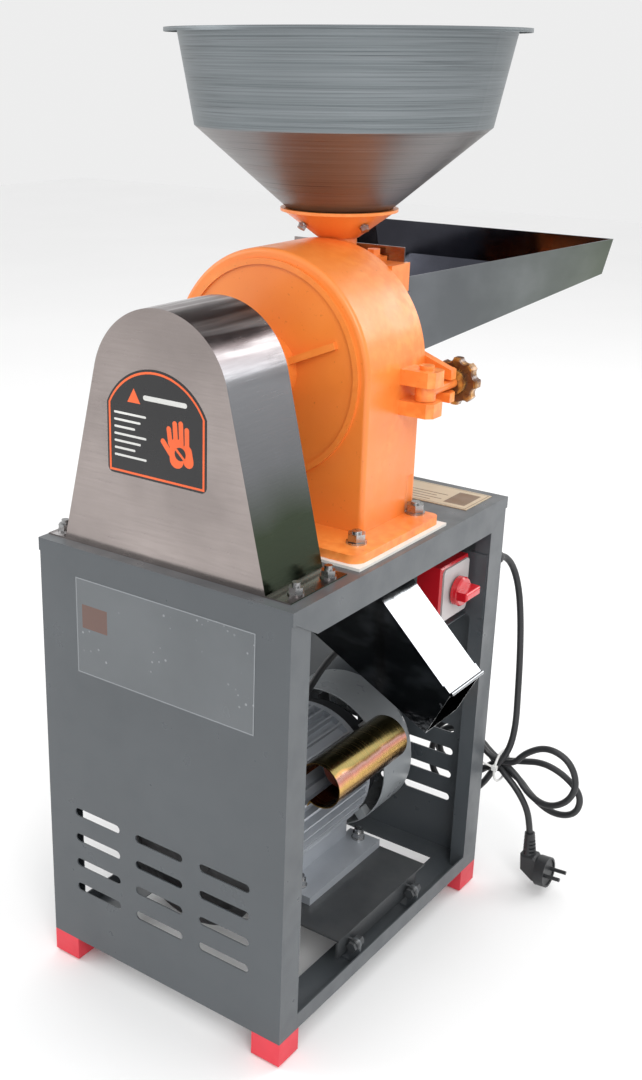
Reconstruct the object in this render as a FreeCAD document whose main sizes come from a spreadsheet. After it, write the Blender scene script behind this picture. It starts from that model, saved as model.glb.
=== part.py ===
"""Hammer mill on a sheet-steel stand: driving sizes in a spreadsheet, one object per physical piece."""

import FreeCAD
import Part
import math
import os
import re

import Sketcher
from FreeCAD import Placement, Rotation, Vector

# Millimetres. +Z is up, the belt guard faces -Y, the open service side with the switch faces +X.
# "Stand frame" below means: x = 0, y = 0 in the middle of the stand, z = 0 on the floor.
SIZES = {
    "stand_width": 318, "stand_depth": 426, "stand_top": 510, "foot_height": 30, "foot_side": 35,
    "skin": 1.5, "top_skin": 2, "post_return": 32, "flange_drop": 34, "rail_lip": 19, "rail_web": 44,
    "vent_width": 64, "vent_height": 10, "vent_pitch_x": 86, "vent_pitch_z": 32, "vent_low": 104,
    "mill_x": -9, "shaft_z": 674, "drum_radius": 122, "drum_front": -27, "drum_back": 75,
    "drum_bore": 112, "drum_wall": 8, "base_thick": 9, "gasket_thick": 3, "base_left": -156,
    "base_right": 146, "base_front": -85, "base_rear": 78, "base_bolt_front": -50, "base_bolt_rear": 66,
    "outlet_half": 62, "outlet_front": -12, "outlet_rear": 56,
    "shaft_radius": 12.45, "bearing_bore": 12.5, "bearing_outer": 26, "bearing_width": 15,
    "boss_radius": 38, "unit_radius": 36, "unit_front": -99, "unit_rear": -45,
    "belt_y": -136, "belt_width": 13, "pulley_width": 24,
    "mill_pulley_radius": 46, "motor_pulley_radius": 92,
    "guard_front": -199, "guard_rear": -104, "guard_half": 126, "guard_arc": 82, "guard_arc_z": 678,
    "guard_skin": 1.2, "guard_flange": 30,
    "door_radius": 120, "door_front": 75.3, "door_thick": 12, "inlet_rear": 124, "inlet_top": 772,
    "inlet_low": 655, "inlet_half": 75, "inlet_wall": 5, "neck_y": 100, "neck_radius": 20,
    "collar_low": 794.6, "collar_top": 824.6, "collar_radius": 62,
    "hopper_waist_z": 907, "hopper_waist": 153, "hopper_top": 1000, "hopper_wall": 171,
    "hopper_rim": 183, "hopper_skin": 1.2, "tray_front": 125, "tray_rear": 447, "tray_skin": 1.2,
    "clamp_x": 134, "clamp_y": 50, "clamp_z": 657, "rod_radius": 5.5, "slot_half": 7,
    "knob_front": 106.5, "star_front": 112, "star_thick": 11, "star_radius": 25,
    "motor_x": -12, "motor_z": 162, "motor_core": 70, "motor_fins": 80, "motor_bore": 62,
    "motor_front": -88, "body_front": -62, "body_rear": 92, "cover_front": 112, "cover_rear": 190,
    "cover_radius": 91, "mount_left": -118, "mount_right": 142, "mount_top": 72, "mount_thick": 2.5,
    "pivot_x": 149, "pivot_z": 58, "pivot_radius": 3.9,
    "cap_distance": 110, "cap_radius": 21, "cap_cover": 27, "cap_gap": 60, "cap_wing": 7, "cap_front": -35, "cap_rear": 110,
    "chute_front": -12, "chute_rear": 56, "chute_skin": 1.2,
    "switch_x": 138, "switch_y": 142, "switch_z": 414, "switch_width": 58, "switch_tall": 62,
    "switch_deep": 30, "cord_radius": 4,
}

doc = FreeCAD.newDocument("HammerMill")
sheet = doc.addObject("Spreadsheet::Sheet", "Sizes")
for row, (alias, number) in enumerate(SIZES.items(), start=1):
    sheet.set("A%d" % row, alias)
    sheet.set("B%d" % row, str(number))
    sheet.setAlias("B%d" % row, alias)
doc.recompute()

X, Y, Z = Vector(1, 0, 0), Vector(0, 1, 0), Vector(0, 0, 1)
PARTS = []


class Values:
    """Reads a driving size from the sheet: S.stand_width."""

    def __getattr__(self, alias):
        return float(getattr(sheet, alias))


S = Values()
# The part's origin: on the floor, under the middle of its outline without the loose mains cord.
ORIGIN = Vector(14, (S.tray_rear - S.stand_depth / 2) / 2, 0)


def expression(text):
    """Turn size names into references to the sheet's cells."""
    return re.sub(r"[a-z_]+", lambda m: "Sizes." + m.group(0) if m.group(0) in SIZES else m.group(0), text)


def drive(obj, prop, value):
    """Bind a property to the sheet when the value is text, and set it when it is a number."""
    if isinstance(value, str):
        obj.setExpression(prop, expression(value))
    else:
        target, _, leaf = prop.rpartition(".")
        if target:
            base = obj.Placement.Base
            setattr(base, leaf, value)
            obj.Placement = Placement(base, obj.Placement.Rotation)
        else:
            setattr(obj, prop, value)


def part(label, obj):
    """Name an object as a sub-part and put it in the part's own frame."""
    if obj.isDerivedFrom("Part::Box") or obj.isDerivedFrom("Part::Cylinder"):
        obj = group(label + "Solid", obj)
    obj.Label = label
    obj.Placement = Placement(-ORIGIN, Rotation()).multiply(obj.Placement)
    PARTS.append(obj)
    return obj


def box(x, y, z, length, width, height):
    b = doc.addObject("Part::Box", "Block")
    for prop, value in zip(("Length", "Width", "Height"), (length, width, height)):
        drive(b, prop, value)
    for prop, value in zip("xyz", (x, y, z)):
        drive(b, "Placement.Base." + prop, value)
    return b


def span(x0, x1, y0, y1, z0, z1):
    """A box between two corners, each coordinate a number or a size expression."""
    lengths = []
    for low, high in ((x0, x1), (y0, y1), (z0, z1)):
        if isinstance(low, str) or isinstance(high, str):
            lengths.append("(%s) - (%s)" % (high, low))
        else:
            lengths.append(high - low)
    return box(x0, y0, z0, *lengths)


TURN = {"x": Rotation(Z, X), "y": Rotation(Z, Y), "z": Rotation()}


def rod(x, y, z, radius, length, along="z"):
    """A cylinder from a point along +X, +Y or +Z."""
    c = doc.addObject("Part::Cylinder", "Rod")
    c.Placement = Placement(Vector(), TURN[along])
    drive(c, "Radius", radius)
    drive(c, "Height", length)
    for prop, value in zip("xyz", (x, y, z)):
        drive(c, "Placement.Base." + prop, value)
    return c


def union(name, *shapes):
    f = doc.addObject("Part::MultiFuse", name)
    if len(shapes) == 1:
        f = doc.addObject("Part::Compound", name)
        f.Links = list(shapes)
        return f
    f.Shapes = list(shapes)
    return f


def group(name, *shapes):
    g = doc.addObject("Part::Compound", name)
    g.Links = list(shapes)
    return g


def minus(name, base, *tools):
    c = doc.addObject("Part::Cut", name)
    c.Base = base
    c.Tool = tools[0] if len(tools) == 1 else union(name + "Tools", *tools)
    return c


def common(name, a, b):
    c = doc.addObject("Part::Common", name)
    c.Base = a
    c.Tool = b
    return c


def raw(name, shape):
    f = doc.addObject("Part::Feature", name)
    f.Shape = shape
    return f


def turned(name, profile, axis_x=0.0, axis_z=0.0, along="z", start=0.0):
    """A PartDesign body turned from a closed outline of (radius, height) points.

    The outline is drawn on the XZ plane and turned about Z; the body is then laid along its axis."""
    body = doc.addObject("PartDesign::Body", name)
    sketch = body.newObject("Sketcher::SketchObject", name + "Profile")
    attach(sketch, body, "XZ_Plane")
    outline(sketch, profile)
    turn = body.newObject("PartDesign::Revolution", name + "Turn")
    turn.Profile = sketch
    turn.ReferenceAxis = (sketch, ["V_Axis"])
    turn.Angle = 360
    body.Tip = turn
    if along == "y":
        body.Placement = Placement(Vector(axis_x, start, axis_z), TURN["y"])
    elif along == "x":
        body.Placement = Placement(Vector(start, axis_x, axis_z), TURN["x"])
    return body


def attach(sketch, body, role, offset=0.0):
    plane = [f for f in body.Origin.OriginFeatures if f.Role == role][0]
    sketch.AttachmentSupport = [(plane, "")]
    sketch.MapMode = "FlatFace"
    sketch.AttachmentOffset = Placement(Vector(0, 0, offset), Rotation())


def outline(sketch, points):
    """Draw a closed outline. A point is (u, v); ("arc", middle, end) bends to end through middle."""
    first = points[0]
    here = first
    count = 0
    start_index = len(sketch.Geometry)
    for step in list(points[1:]) + [first]:
        if step[0] == "arc":
            end = step[2]
            edge = Part.Arc(flat(here), flat(step[1]), flat(end))
        else:
            end = step
            if math.dist(here, end) < 1e-6:
                continue
            edge = Part.LineSegment(flat(here), flat(end))
        sketch.addGeometry(edge, False)
        here = end
        count += 1
    for i in range(count - 1):
        if not isinstance(sketch.Geometry[start_index + i], Part.LineSegment):
            continue
        if not isinstance(sketch.Geometry[start_index + i + 1], Part.LineSegment):
            continue
        sketch.addConstraint(Sketcher.Constraint("Coincident", start_index + i, 2, start_index + i + 1, 1))


def flat(point):
    return Vector(point[0], point[1], 0)


def padded(name, role, outlines, length, offset=0.0, reverse=False, holes=()):
    """A PartDesign body: outlines on an origin plane, padded by a size, with round holes in the sketch."""
    body = doc.addObject("PartDesign::Body", name)
    sketch = body.newObject("Sketcher::SketchObject", name + "Outline")
    attach(sketch, body, role, offset)
    for points in outlines:
        outline(sketch, points)
    for u, v, radius in holes:
        index = sketch.addGeometry(Part.Circle(Vector(u, v, 0), Z, 1.0 if isinstance(radius, str) else radius))
        constraint = sketch.addConstraint(Sketcher.Constraint("Radius", index, S_value(radius)))
        if isinstance(radius, str):
            sketch.setExpression("Constraints[%d]" % constraint, expression(radius))
    pad = body.newObject("PartDesign::Pad", name + "Pad")
    pad.Profile = sketch
    drive(pad, "Length", length)
    pad.Reversed = reverse
    body.Tip = pad
    return body


def S_value(value):
    """The number behind a size expression."""
    if not isinstance(value, str):
        return float(value)
    names = {alias: float(number) for alias, number in SIZES.items()}
    total = 0.0
    sign = 1.0
    for token in value.replace("-", " - ").replace("+", " + ").split():
        if token in "+-":
            sign = 1.0 if token == "+" else -1.0
        else:
            total += sign * (names[token] if token in names else float(token))
    return total


def obround(u, v, width, height):
    """Outline of a slot with round ends, centred on (u, v)."""
    r = height / 2
    half = width / 2 - r
    return [
        (u - half, v - r),
        (u + half, v - r),
        ("arc", (u + half + r, v), (u + half, v + r)),
        (u - half, v + r),
        ("arc", (u - half - r, v), (u - half, v - r)),
    ]


def rectangle(u0, u1, v0, v1):
    return [(u0, v0), (u1, v0), (u1, v1), (u0, v1)]


def prism(points, direction):
    """A straight solid from a closed polyline of 3-D points."""
    return Part.Face(Part.makePolygon(points + [points[0]])).extrude(direction)


def hexagon(across):
    r = across / math.sqrt(3)
    return [(r * math.cos(math.radians(60 * i)), r * math.sin(math.radians(60 * i))) for i in range(6)]


def hex_solid(across, thickness, place):
    points = [Vector(u, v, 0) for u, v in hexagon(across)]
    solid = prism(points, Vector(0, 0, thickness))
    solid.Placement = place
    return solid


def facing(point, direction):
    """A placement whose local Z points along a direction."""
    return Placement(point, Rotation(Z, direction))


def bolt(point, direction, radius, length, across, head=5.5, washer=0.0):
    """A hexagon-head screw whose head sits on the point and whose shank runs backwards."""
    shank = Part.makeCylinder(radius, length, point, -direction)
    solid = shank.fuse(hex_solid(across, head, facing(point + direction * washer, direction)))
    if washer:
        solid = solid.fuse(Part.makeCylinder(across * 0.62, washer, point, direction))
    return solid.removeSplitter()


def tube(points, radius, label):
    """A round cord along straight runs joined by tangent arcs, each as large as its runs allow."""
    edges = []
    radii = []
    here = points[0]
    for before, at, after in zip(points, points[1:], points[2:]):
        into = (at - before)
        out = (after - at)
        turn = into.getAngle(out)
        shorter = min(into.Length, out.Length)
        bend = 0.45 * shorter / math.tan(turn / 2)
        reach = 0.45 * shorter
        a = at - into.normalize() * reach
        b = at + out.normalize() * reach
        inward = (b - at).normalize() + (a - at).normalize()
        middle = at + inward.normalize() * (bend / math.cos(turn / 2) - bend)
        edges.append(Part.LineSegment(here, a).toShape())
        edges.append(Part.Arc(a, middle, b).toShape())
        radii.append(round(bend, 1))
        here = b
    edges.append(Part.LineSegment(here, points[-1]).toShape())
    wire = Part.Wire(edges)
    circle = Part.Wire(Part.makeCircle(radius, points[0], points[1] - points[0]))
    solid = wire.makePipeShell([circle], True, False)
    expected = math.pi * radius ** 2 * wire.Length
    print(label, "length", round(wire.Length, 1), "bend radii", radii,
          "volume ratio", round(solid.Volume / expected, 4))
    return solid


# --- Stand ------------------------------------------------------------------------------------------

HALF = S.stand_width / 2
DEEP = S.stand_depth / 2
SIDE = HALF - 1.6            # outer face of the panels' side returns, inside the top's flange
UNDER_TOP = S.stand_top - S.top_skin


def vents():
    """Ventilation slots of an end panel: three columns of four."""
    slots = []
    for column in (-1, 0, 1):
        for line in range(4):
            slots.append(obround(-1.5 + column * S.vent_pitch_x, S.vent_low + line * S.vent_pitch_z,
                                 S.vent_width, S.vent_height))
    return slots


def end_panel(label, sign, holes=()):
    """Folded sheet panel: face with slots, two side returns and a bottom return."""
    face_start = -DEEP if sign < 0 else DEEP - S.skin
    face = padded(label + "Face", "XZ_Plane", [rectangle(-SIDE, SIDE, 30, UNDER_TOP - 0.1)] + vents(),
                  "skin", offset=-face_start, reverse=True, holes=holes)
    low, high = (-DEEP + S.skin, -DEEP + S.post_return) if sign < 0 else (DEEP - S.post_return, DEEP - S.skin)
    right = span(SIDE - S.skin, SIDE, low, high, 30, UNDER_TOP - 0.1)
    left = span(-SIDE, -SIDE + S.skin, low, high, 30, UNDER_TOP - 0.1)
    inner_right = span(SIDE - 18, SIDE - S.skin, *((high - S.skin, high) if sign < 0 else (low, low + S.skin)),
                       30, UNDER_TOP - 0.1)
    inner_left = span(-SIDE + S.skin, -SIDE + 18, *((high - S.skin, high) if sign < 0 else (low, low + S.skin)),
                      30, UNDER_TOP - 0.1)
    sill = span(-SIDE + S.skin, SIDE - S.skin, low, high, 30, 30 + S.skin)
    return part(label, union(label + "Sheet", face, right, left, inner_right, inner_left, sill))


end_panel("front_panel", -1)
GLAND = Vector(146, DEEP, 430)
end_panel("back_panel", 1, holes=[(GLAND.x, GLAND.z, 5.2)])


def flange(x_start, label):
    """Folded edge of the top along one side, with mitred ends."""
    profile = [(-DEEP, S.stand_top - 14), (-DEEP + 6, S.stand_top - 14), (-DEEP + 41, S.stand_top - S.flange_drop),
               (DEEP - 30, S.stand_top - S.flange_drop), (DEEP - 6, S.stand_top - 13),
               (DEEP, S.stand_top - 13), (DEEP, UNDER_TOP), (-DEEP, UNDER_TOP)]
    return padded(label, "YZ_Plane", [profile], "skin", offset=x_start)


OUTLET_X = (S.mill_x - S.outlet_half, S.mill_x + S.outlet_half)
top_sheet = padded(
    "TopSheet", "XY_Plane",
    [rectangle(-HALF, HALF, -DEEP, DEEP),
     rectangle(OUTLET_X[0], OUTLET_X[1], S.outlet_front, S.outlet_rear),
     obround(S.mill_x, S.belt_y, 150, 34)],
    "top_skin", offset=UNDER_TOP)
part("top_plate", union("TopPlate", top_sheet, flange(HALF - S.skin, "TopFlangeRight"),
                        flange(-HALF, "TopFlangeLeft")))


def bottom_rail(label, sign):
    """Angle between the end panels: a web turned inward and a low lip outside."""
    reach = DEEP - S.post_return - 0.1
    outer = sign * SIDE
    inner = sign * (SIDE - S.rail_web)
    web = span(min(outer, inner), max(outer, inner), -reach, reach, 30, 30 + S.skin)
    edge = sign * (SIDE - S.skin)
    lip = span(min(outer, edge), max(outer, edge), -reach, reach, 30 + S.skin, 30 + S.rail_lip)
    return part(label, union(label + "Angle", web, lip))


bottom_rail("bottom_rail_right", 1)
bottom_rail("bottom_rail_left", -1)


def foot(sx, sy):
    """Square plastic foot with sloping edges below."""
    x = sx * (HALF - 1.6 - S.foot_side / 2)
    y = sy * (DEEP - S.foot_side / 2)
    half = S.foot_side / 2
    block = Part.makeBox(S.foot_side, S.foot_side, S.foot_height - 0.1, Vector(x - half, y - half, 0))
    return block.makeChamfer(2.5, [e for e in block.Edges if e.BoundBox.ZMax < 0.1])


FOOT_SOLIDS = [raw("Foot%d%d" % (sx, sy), foot(sx, sy)) for sx in (-1, 1) for sy in (-1, 1)]
part("feet", group("FootGroup", *FOOT_SOLIDS))

# --- Mill body --------------------------------------------------------------------------------------

MX, SZ = S.mill_x, S.shaft_z
BASE_Z = S.stand_top + S.gasket_thick
BASE_TOP = BASE_Z + S.base_thick
MILL_BOLTS = [(x, y) for x in (122, -140) for y in (S.base_bolt_front, S.base_bolt_rear)]


def drum_outline(radius, low):
    """Half-round top with straight sides down to a height."""
    return [(MX - radius, low), (MX + radius, low), (MX + radius, SZ),
            ("arc", (MX, SZ + radius), (MX - radius, SZ))]


def pad_at_y(name, outlines, y0, length, holes=()):
    """Outlines in X and Z, padded toward +Y from a given y."""
    return padded(name, "XZ_Plane", outlines, length, offset=-y0, reverse=True, holes=holes)


drum = pad_at_y("DrumOuter", [drum_outline(S.drum_radius, BASE_Z)], S.drum_front, "drum_back - drum_front")


def edge_names(feature, keep):
    return ["Edge%d" % (i + 1) for i, e in enumerate(feature.Shape.Edges) if keep(e)]


def fillet(body, name, radius, keep):
    """Round some edges of a PartDesign body."""
    doc.recompute()
    base = body.Tip
    f = body.newObject("PartDesign::Fillet", name)
    f.Base = (base, edge_names(base, keep))
    f.Radius = radius
    body.Tip = f
    doc.recompute()
    return body


fillet(drum, "DrumFrontRound", 5,
       lambda e: e.BoundBox.YMax < S.drum_front + 0.01 and e.BoundBox.ZMax > BASE_Z + 5)

base = padded("BaseFlange", "XY_Plane",
              [[(S.base_left + 14, S.base_front), (S.base_right - 14, S.base_front),
                ("arc", (S.base_right - 4.1, S.base_front + 4.1), (S.base_right, S.base_front + 14)),
                (S.base_right, S.base_rear - 10),
                ("arc", (S.base_right - 2.9, S.base_rear - 2.9), (S.base_right - 10, S.base_rear)),
                (S.base_left + 10, S.base_rear),
                ("arc", (S.base_left + 2.9, S.base_rear - 2.9), (S.base_left, S.base_rear - 10)),
                (S.base_left, S.base_front + 14),
                ("arc", (S.base_left + 4.1, S.base_front + 4.1), (S.base_left + 14, S.base_front))]],
              "base_thick", offset=BASE_Z, holes=[(x, y, 5.6) for x, y in MILL_BOLTS])
ring = raw("BeadRing", Part.makeCylinder(112, 3, Vector(MX, S.drum_front - 3, SZ), Y).cut(
    Part.makeCylinder(106, 3, Vector(MX, S.drum_front - 3, SZ), Y)))
boss = rod("mill_x", "drum_front", "shaft_z", "boss_radius", "drum_front - unit_rear", "y")
boss.Placement = Placement(Vector(MX, S.unit_rear, SZ), TURN["y"])
boss.setExpression("Placement.Base.y", expression("unit_rear"))


def rib(angle):
    """Radial rib on the drum's front wall, sloping down away from the boss."""
    profile = [Vector(30, 0, 0), Vector(91, 0, 0), Vector(91, -4, 0), Vector(38, -12, 0), Vector(30, -12, 0)]
    solid = prism(profile, Vector(0, 0, 7))
    solid.translate(Vector(0, 0, -3.5))
    solid.rotate(Vector(), X, 0)
    solid.rotate(Vector(), Y, -angle)
    solid.translate(Vector(MX, S.drum_front, SZ))
    return solid


ribs = [raw("Rib%d" % i, rib(angle)) for i, angle in enumerate((23, 158, 203, 270))]


def clamp_lug(z0, z1):
    """Ear of the housing that carries the swing bolt, its nose cut back below."""
    x0, x1 = MX + S.drum_radius - 14, S.clamp_x + 16
    y0, y1 = S.clamp_y - 16, S.clamp_y + 12
    points = [Vector(x0, y0, z0), Vector(x1 - 6, y0, z0), Vector(x1, y0 + 6, z0), Vector(x1, y1 - 5, z0),
              Vector(x1 - 5, y1, z0), Vector(x0, y1, z0)]
    return prism(points, Vector(0, 0, z1 - z0)).cut(
        Part.makeCylinder(5.05, z1 - z0, Vector(S.clamp_x, S.clamp_y, z0)))


def hinge_lug(z0, z1):
    """Ear of the housing that carries a door hinge pin."""
    px, py = HINGE
    points = [Vector(MX - S.drum_radius + 10, 45, z0), Vector(MX - S.drum_radius + 10, 74, z0),
              Vector(MX - S.drum_radius, 74, z0), Vector(px + 6, py + 7, z0), Vector(px - 7, py + 6, z0),
              Vector(px - 9, py - 4, z0), Vector(MX - S.drum_radius, 45, z0)]
    eye = Part.makeCylinder(9, z1 - z0, Vector(px, py, z0))
    hole = Part.makeCylinder(4.05, z1 - z0, Vector(px, py, z0))
    return prism(points, Vector(0, 0, z1 - z0)).fuse(eye).cut(hole)


HINGE = (-140, 82)
LUGS = [raw("ClampLugUpper", clamp_lug(665, 681)), raw("ClampLugLower", clamp_lug(634, 649)),
        raw("HingeLugUpper", hinge_lug(708, 722)), raw("HingeLugLower", hinge_lug(626, 640))]
housing_blank = union("HousingBlank", drum, base, boss, ring, *(ribs + LUGS))
chamber = rod("mill_x", "drum_front + drum_wall", "shaft_z", "drum_bore", "drum_back - drum_front", "y")
throat = span(OUTLET_X[0], OUTLET_X[1], "outlet_front", "outlet_rear", BASE_Z - 1, "shaft_z - 40")
shaft_hole = rod("mill_x", "unit_rear - 1", "shaft_z", 20, 60, "y")
for hole_name in (chamber, shaft_hole):
    hole_name.Placement = Placement(hole_name.Placement.Base, TURN["y"])
spot_faces = [rod(x, y, BASE_TOP, 11.2, 40) for x, y in MILL_BOLTS]
part("mill_housing", minus("Housing", housing_blank, chamber, throat, shaft_hole, *spot_faces))

gasket = padded("GasketSheet", "XY_Plane",
                [rectangle(S.base_left - 3.0, S.base_right + 5.5, S.base_front - 5.5, S.base_rear + 4),
                 rectangle(OUTLET_X[0], OUTLET_X[1], S.outlet_front, S.outlet_rear)],
                "gasket_thick", offset=S.stand_top, holes=[(x, y, 5.6) for x, y in MILL_BOLTS])
part("base_gasket", gasket)


def mill_bolt(x, y):
    """Stud with nut and washer, its thread standing above the nut."""
    head = bolt(Vector(x, y, BASE_TOP), Z, 5, S.base_thick + S.gasket_thick, 17, 8.5, 2)
    return head.fuse(Part.makeCylinder(5, 13, Vector(x, y, BASE_TOP)))


part("mill_bolts", group("MillBoltGroup", *[raw("MillBolt%d" % i, mill_bolt(x, y))
                                            for i, (x, y) in enumerate(MILL_BOLTS)]))

# Bearing unit: a tube with a bearing at each end.
U0, U1 = S.unit_front, S.unit_rear
BW, BO = S.bearing_width, S.bearing_outer
unit = turned("BearingTube", [(BO, 0), (S.unit_radius, 0), (S.unit_radius, U1 - U0), (BO, U1 - U0),
                              (BO, U1 - U0 - BW - 2), (21, U1 - U0 - BW - 2), (21, BW + 2), (BO, BW + 2)],
              MX, SZ, "y", U0)
part("bearing_housing", unit)


def bearing(y, axis_x, axis_z, bore, outer, width):
    """Ball bearing: two rings with a sealed gap between them, as one revolved solid."""
    profile = Part.Wire(Part.makePolygon([
        Vector(bore, 0, 0), Vector(outer, 0, 0), Vector(outer, 0, width), Vector(outer - 3.5, 0, width),
        Vector(outer - 4, 0, width - 1), Vector(bore + 4, 0, width - 1), Vector(bore + 3.5, 0, width),
        Vector(bore, 0, width), Vector(bore, 0, 0)]))
    solid = Part.Face(profile).revolve(Vector(), Z, 360)
    solid.Placement = Placement(Vector(axis_x, y, axis_z), TURN["y"])
    return solid


part("mill_bearings", group("MillBearings", *[
    raw("MillBearing%d" % i, bearing(y, MX, SZ, S.bearing_bore, BO - 0.05, BW))
    for i, y in enumerate((U0 + 1.5, U1 - BW - 1))]))

# Shaft, discs and sieve.
SHAFT_Y0, DISC_Y = S.belt_y - 17, 12
shaft = turned("MillShaft", [(0, 0), (11, 0), (11.5, 1), (11.5, 36), (S.shaft_radius, 36),
                             (S.shaft_radius, DISC_Y - SHAFT_Y0), (9, DISC_Y - SHAFT_Y0),
                             (9, DISC_Y - SHAFT_Y0 + 10), (0, DISC_Y - SHAFT_Y0 + 10)], MX, SZ, "y", SHAFT_Y0)
part("mill_shaft", shaft)


def pulley_profile(radius, bore, hub):
    """Half section of a V-belt pulley, the groove in the middle of its width."""
    w = S.pulley_width
    mid = w / 2
    return [(bore, 0), (hub, 0), (hub, 6), (radius - 14, 6), (radius - 14, mid - 10), (radius, mid - 10),
            (radius, mid - 7.2), (radius - 11, mid - 4.6), (radius - 11, mid + 4.6), (radius, mid + 7.2),
            (radius, mid + 10), (radius - 14, mid + 10), (radius - 14, w - 6), (hub, w - 6), (hub, w), (bore, w)]


PULLEY_Y = S.belt_y - S.pulley_width / 2
part("mill_pulley", turned("MillPulley", pulley_profile(S.mill_pulley_radius, 11.5, 22), MX, SZ, "y", PULLEY_Y))


def belt_solid():
    """V-belt: two arcs round the pulleys and two straight runs, with a trapezoid section."""
    r1, r2 = S.mill_pulley_radius - 0.5, S.motor_pulley_radius - 0.5
    c1, c2 = Vector(MX, S.belt_y, SZ), Vector(S.motor_x, S.belt_y, S.motor_z)
    axis = (c2 - c1).normalize()
    side = Vector(-axis.z, 0, axis.x)
    tilt = math.asin((r2 - r1) / (c2 - c1).Length)
    pieces = []

    def section(centre, outward):
        wide, narrow, deep = 6.3, 4.5, 8
        def at(y, drop, radius):
            return centre + outward * (radius - drop) + Vector(0, y, 0)
        return lambda radius: Part.Face(Part.makePolygon([
            at(-wide, 0, radius), at(wide, 0, radius), at(narrow, deep, radius), at(-narrow, deep, radius),
            at(-wide, 0, radius)]))

    normals = [(side * s * math.cos(tilt) - axis * math.sin(tilt)) for s in (-1, 1)]
    for normal in normals:
        start = section(c1, normal)(r1)
        run = (c2 + normal * r2) - (c1 + normal * r1)
        pieces.append(start.extrude(run))
    for centre, radius, toward in ((c1, r1, -axis), (c2, r2, axis)):
        begin = normals[0]
        sweep = 180 - 2 * math.degrees(tilt) if toward == -axis else 180 + 2 * math.degrees(tilt)
        face = section(centre, begin)(radius)
        for direction in (Y, -Y):
            arc = face.revolve(centre, direction, sweep / 2)
            probe = arc.CenterOfMass - centre
            if probe.dot(toward) > 0:
                pieces.append(face.revolve(centre, direction, sweep))
                break
    solid = pieces[0]
    for extra in pieces[1:]:
        solid = solid.fuse(extra)
    return solid.removeSplitter()


part("belt", raw("BeltRing", belt_solid()))



def round_outline(radius):
    """A full circle about the mill's axis, as two arcs."""
    return [(MX + radius, SZ), ("arc", (MX, SZ + radius), (MX - radius, SZ)),
            ("arc", (MX, SZ - radius), (MX + radius, SZ))]


rotor_plate = pad_at_y("RotorPlate", [round_outline(98)], DISC_Y, 9, holes=[(MX, SZ, 9.0)])
HAMMERS = []
for i in range(4):
    HAMMERS.append(raw("Hammer%d" % i, Part.makeBox(26, 38, 12, Vector(70, 0, -6))))
    HAMMERS[-1].Placement = Placement(Vector(MX, DISC_Y + 9, SZ), Rotation(Y, 90 * i + 45))
TEETH = []
for i in range(12):
    angle = math.radians(30 * i)
    TEETH.append(rod(MX + 42 * math.cos(angle), DISC_Y + 9, SZ + 42 * math.sin(angle), 5, 42, "y"))
part("rotor_disc", union("RotorDisc", rotor_plate, *(HAMMERS + TEETH)))

sieve = turned("SieveRing", [(107, 0), (108.5, 0), (108.5, 74), (107, 74)], MX, SZ, "y", -12)
perforation = []
for i in range(20):
    angle = math.radians(200 + 7.4 * i)
    for row in range(4):
        hole = Part.makeCylinder(4, 12, Vector(), X)
        hole.translate(Vector(102, 0, 0))
        hole.rotate(Vector(), Y, -math.degrees(angle))
        hole.translate(Vector(MX, 2 + row * 16, SZ))
        perforation.append(hole)
part("sieve_ring", minus("Sieve", sieve, raw("SieveHoles", Part.makeCompound(perforation))))

# --- Door, inlet and clamp --------------------------------------------------------------------------

DF = S.door_front
DR = DF + S.door_thick
IH, IW = S.inlet_half, S.inlet_wall
door_disc = pad_at_y("DoorDisc", [round_outline(S.door_radius)], DF, "door_thick")
inlet = pad_at_y("InletBox", [rectangle(MX - IH, MX + IH, S.inlet_low, S.inlet_top)], DR, S.inlet_rear - DR)
neck = rod("mill_x", "neck_y", S.inlet_top - 8, "neck_radius", "collar_low - inlet_top + 8")
ear = span(MX + 16, MX + 50, 96, 119, S.inlet_top - 6, S.inlet_top + 5)
fork = raw("Fork", prism([Vector(88, DR, 640), Vector(142, DR, 640), Vector(142, 98, 640), Vector(136, 104, 640),
                          Vector(88, 104, 640)], Vector(0, 0, 34)))
fork_rib = raw("ForkRib", prism([Vector(60, DR, 674), Vector(142, DR, 674), Vector(98, DR, 690),
                                 Vector(60, DR, 700)], Vector(0, 10, 0)))
hinge_eye = raw("HingeEye", Part.makeCylinder(9, 67.4, Vector(HINGE[0], HINGE[1], 640.3)).fuse(
    Part.makeBox(30, 9, 67.4, Vector(HINGE[0], DF + 0.7, 640.3))))
door_solid = union("DoorBlank", door_disc, inlet, neck, ear, fork, fork_rib, hinge_eye)
inner = span(MX - IH + IW, MX + IH - IW, DR - 2, S.inlet_rear + 1, S.inlet_low + IW, S.inlet_top - IW)
inner_top = span(MX - IH + IW, MX + IH - IW, 120, S.inlet_rear + 1, S.inlet_top - IW - 1, S.inlet_top + 1)
bore = rod("mill_x", "neck_y", S.inlet_top - 5, "neck_radius - 4", 40)
ear_hole = rod("mill_x + 40", 108, S.inlet_top + 3.5, 4.3, 4)
eye_hole = rod(HINGE[0], HINGE[1], 640, 4.3, 70)
feed_hole = rod("mill_x", DF - 1, SZ + 10, 30, 20, "y")
feed_hole.Placement = Placement(Vector(MX, DF - 1, SZ + 10), TURN["y"])
slot = span(S.clamp_x - S.slot_half, 143, DR - 1, 105, S.clamp_z - S.slot_half, S.clamp_z + S.slot_half)
part("mill_door", minus("Door", door_solid, inner, inner_top, bore, ear_hole, eye_hole, feed_hole, slot))

PINS = [raw("HingePin%d" % i, Part.makeCylinder(4, 22, Vector(HINGE[0], HINGE[1], z)).fuse(
    Part.makeCylinder(6.5, 3, Vector(HINGE[0], HINGE[1], cap)))) for i, (z, cap) in
    enumerate(((700, 722), (626, 623)))]
part("door_hinge_pins", group("HingePins", *PINS))

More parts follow.
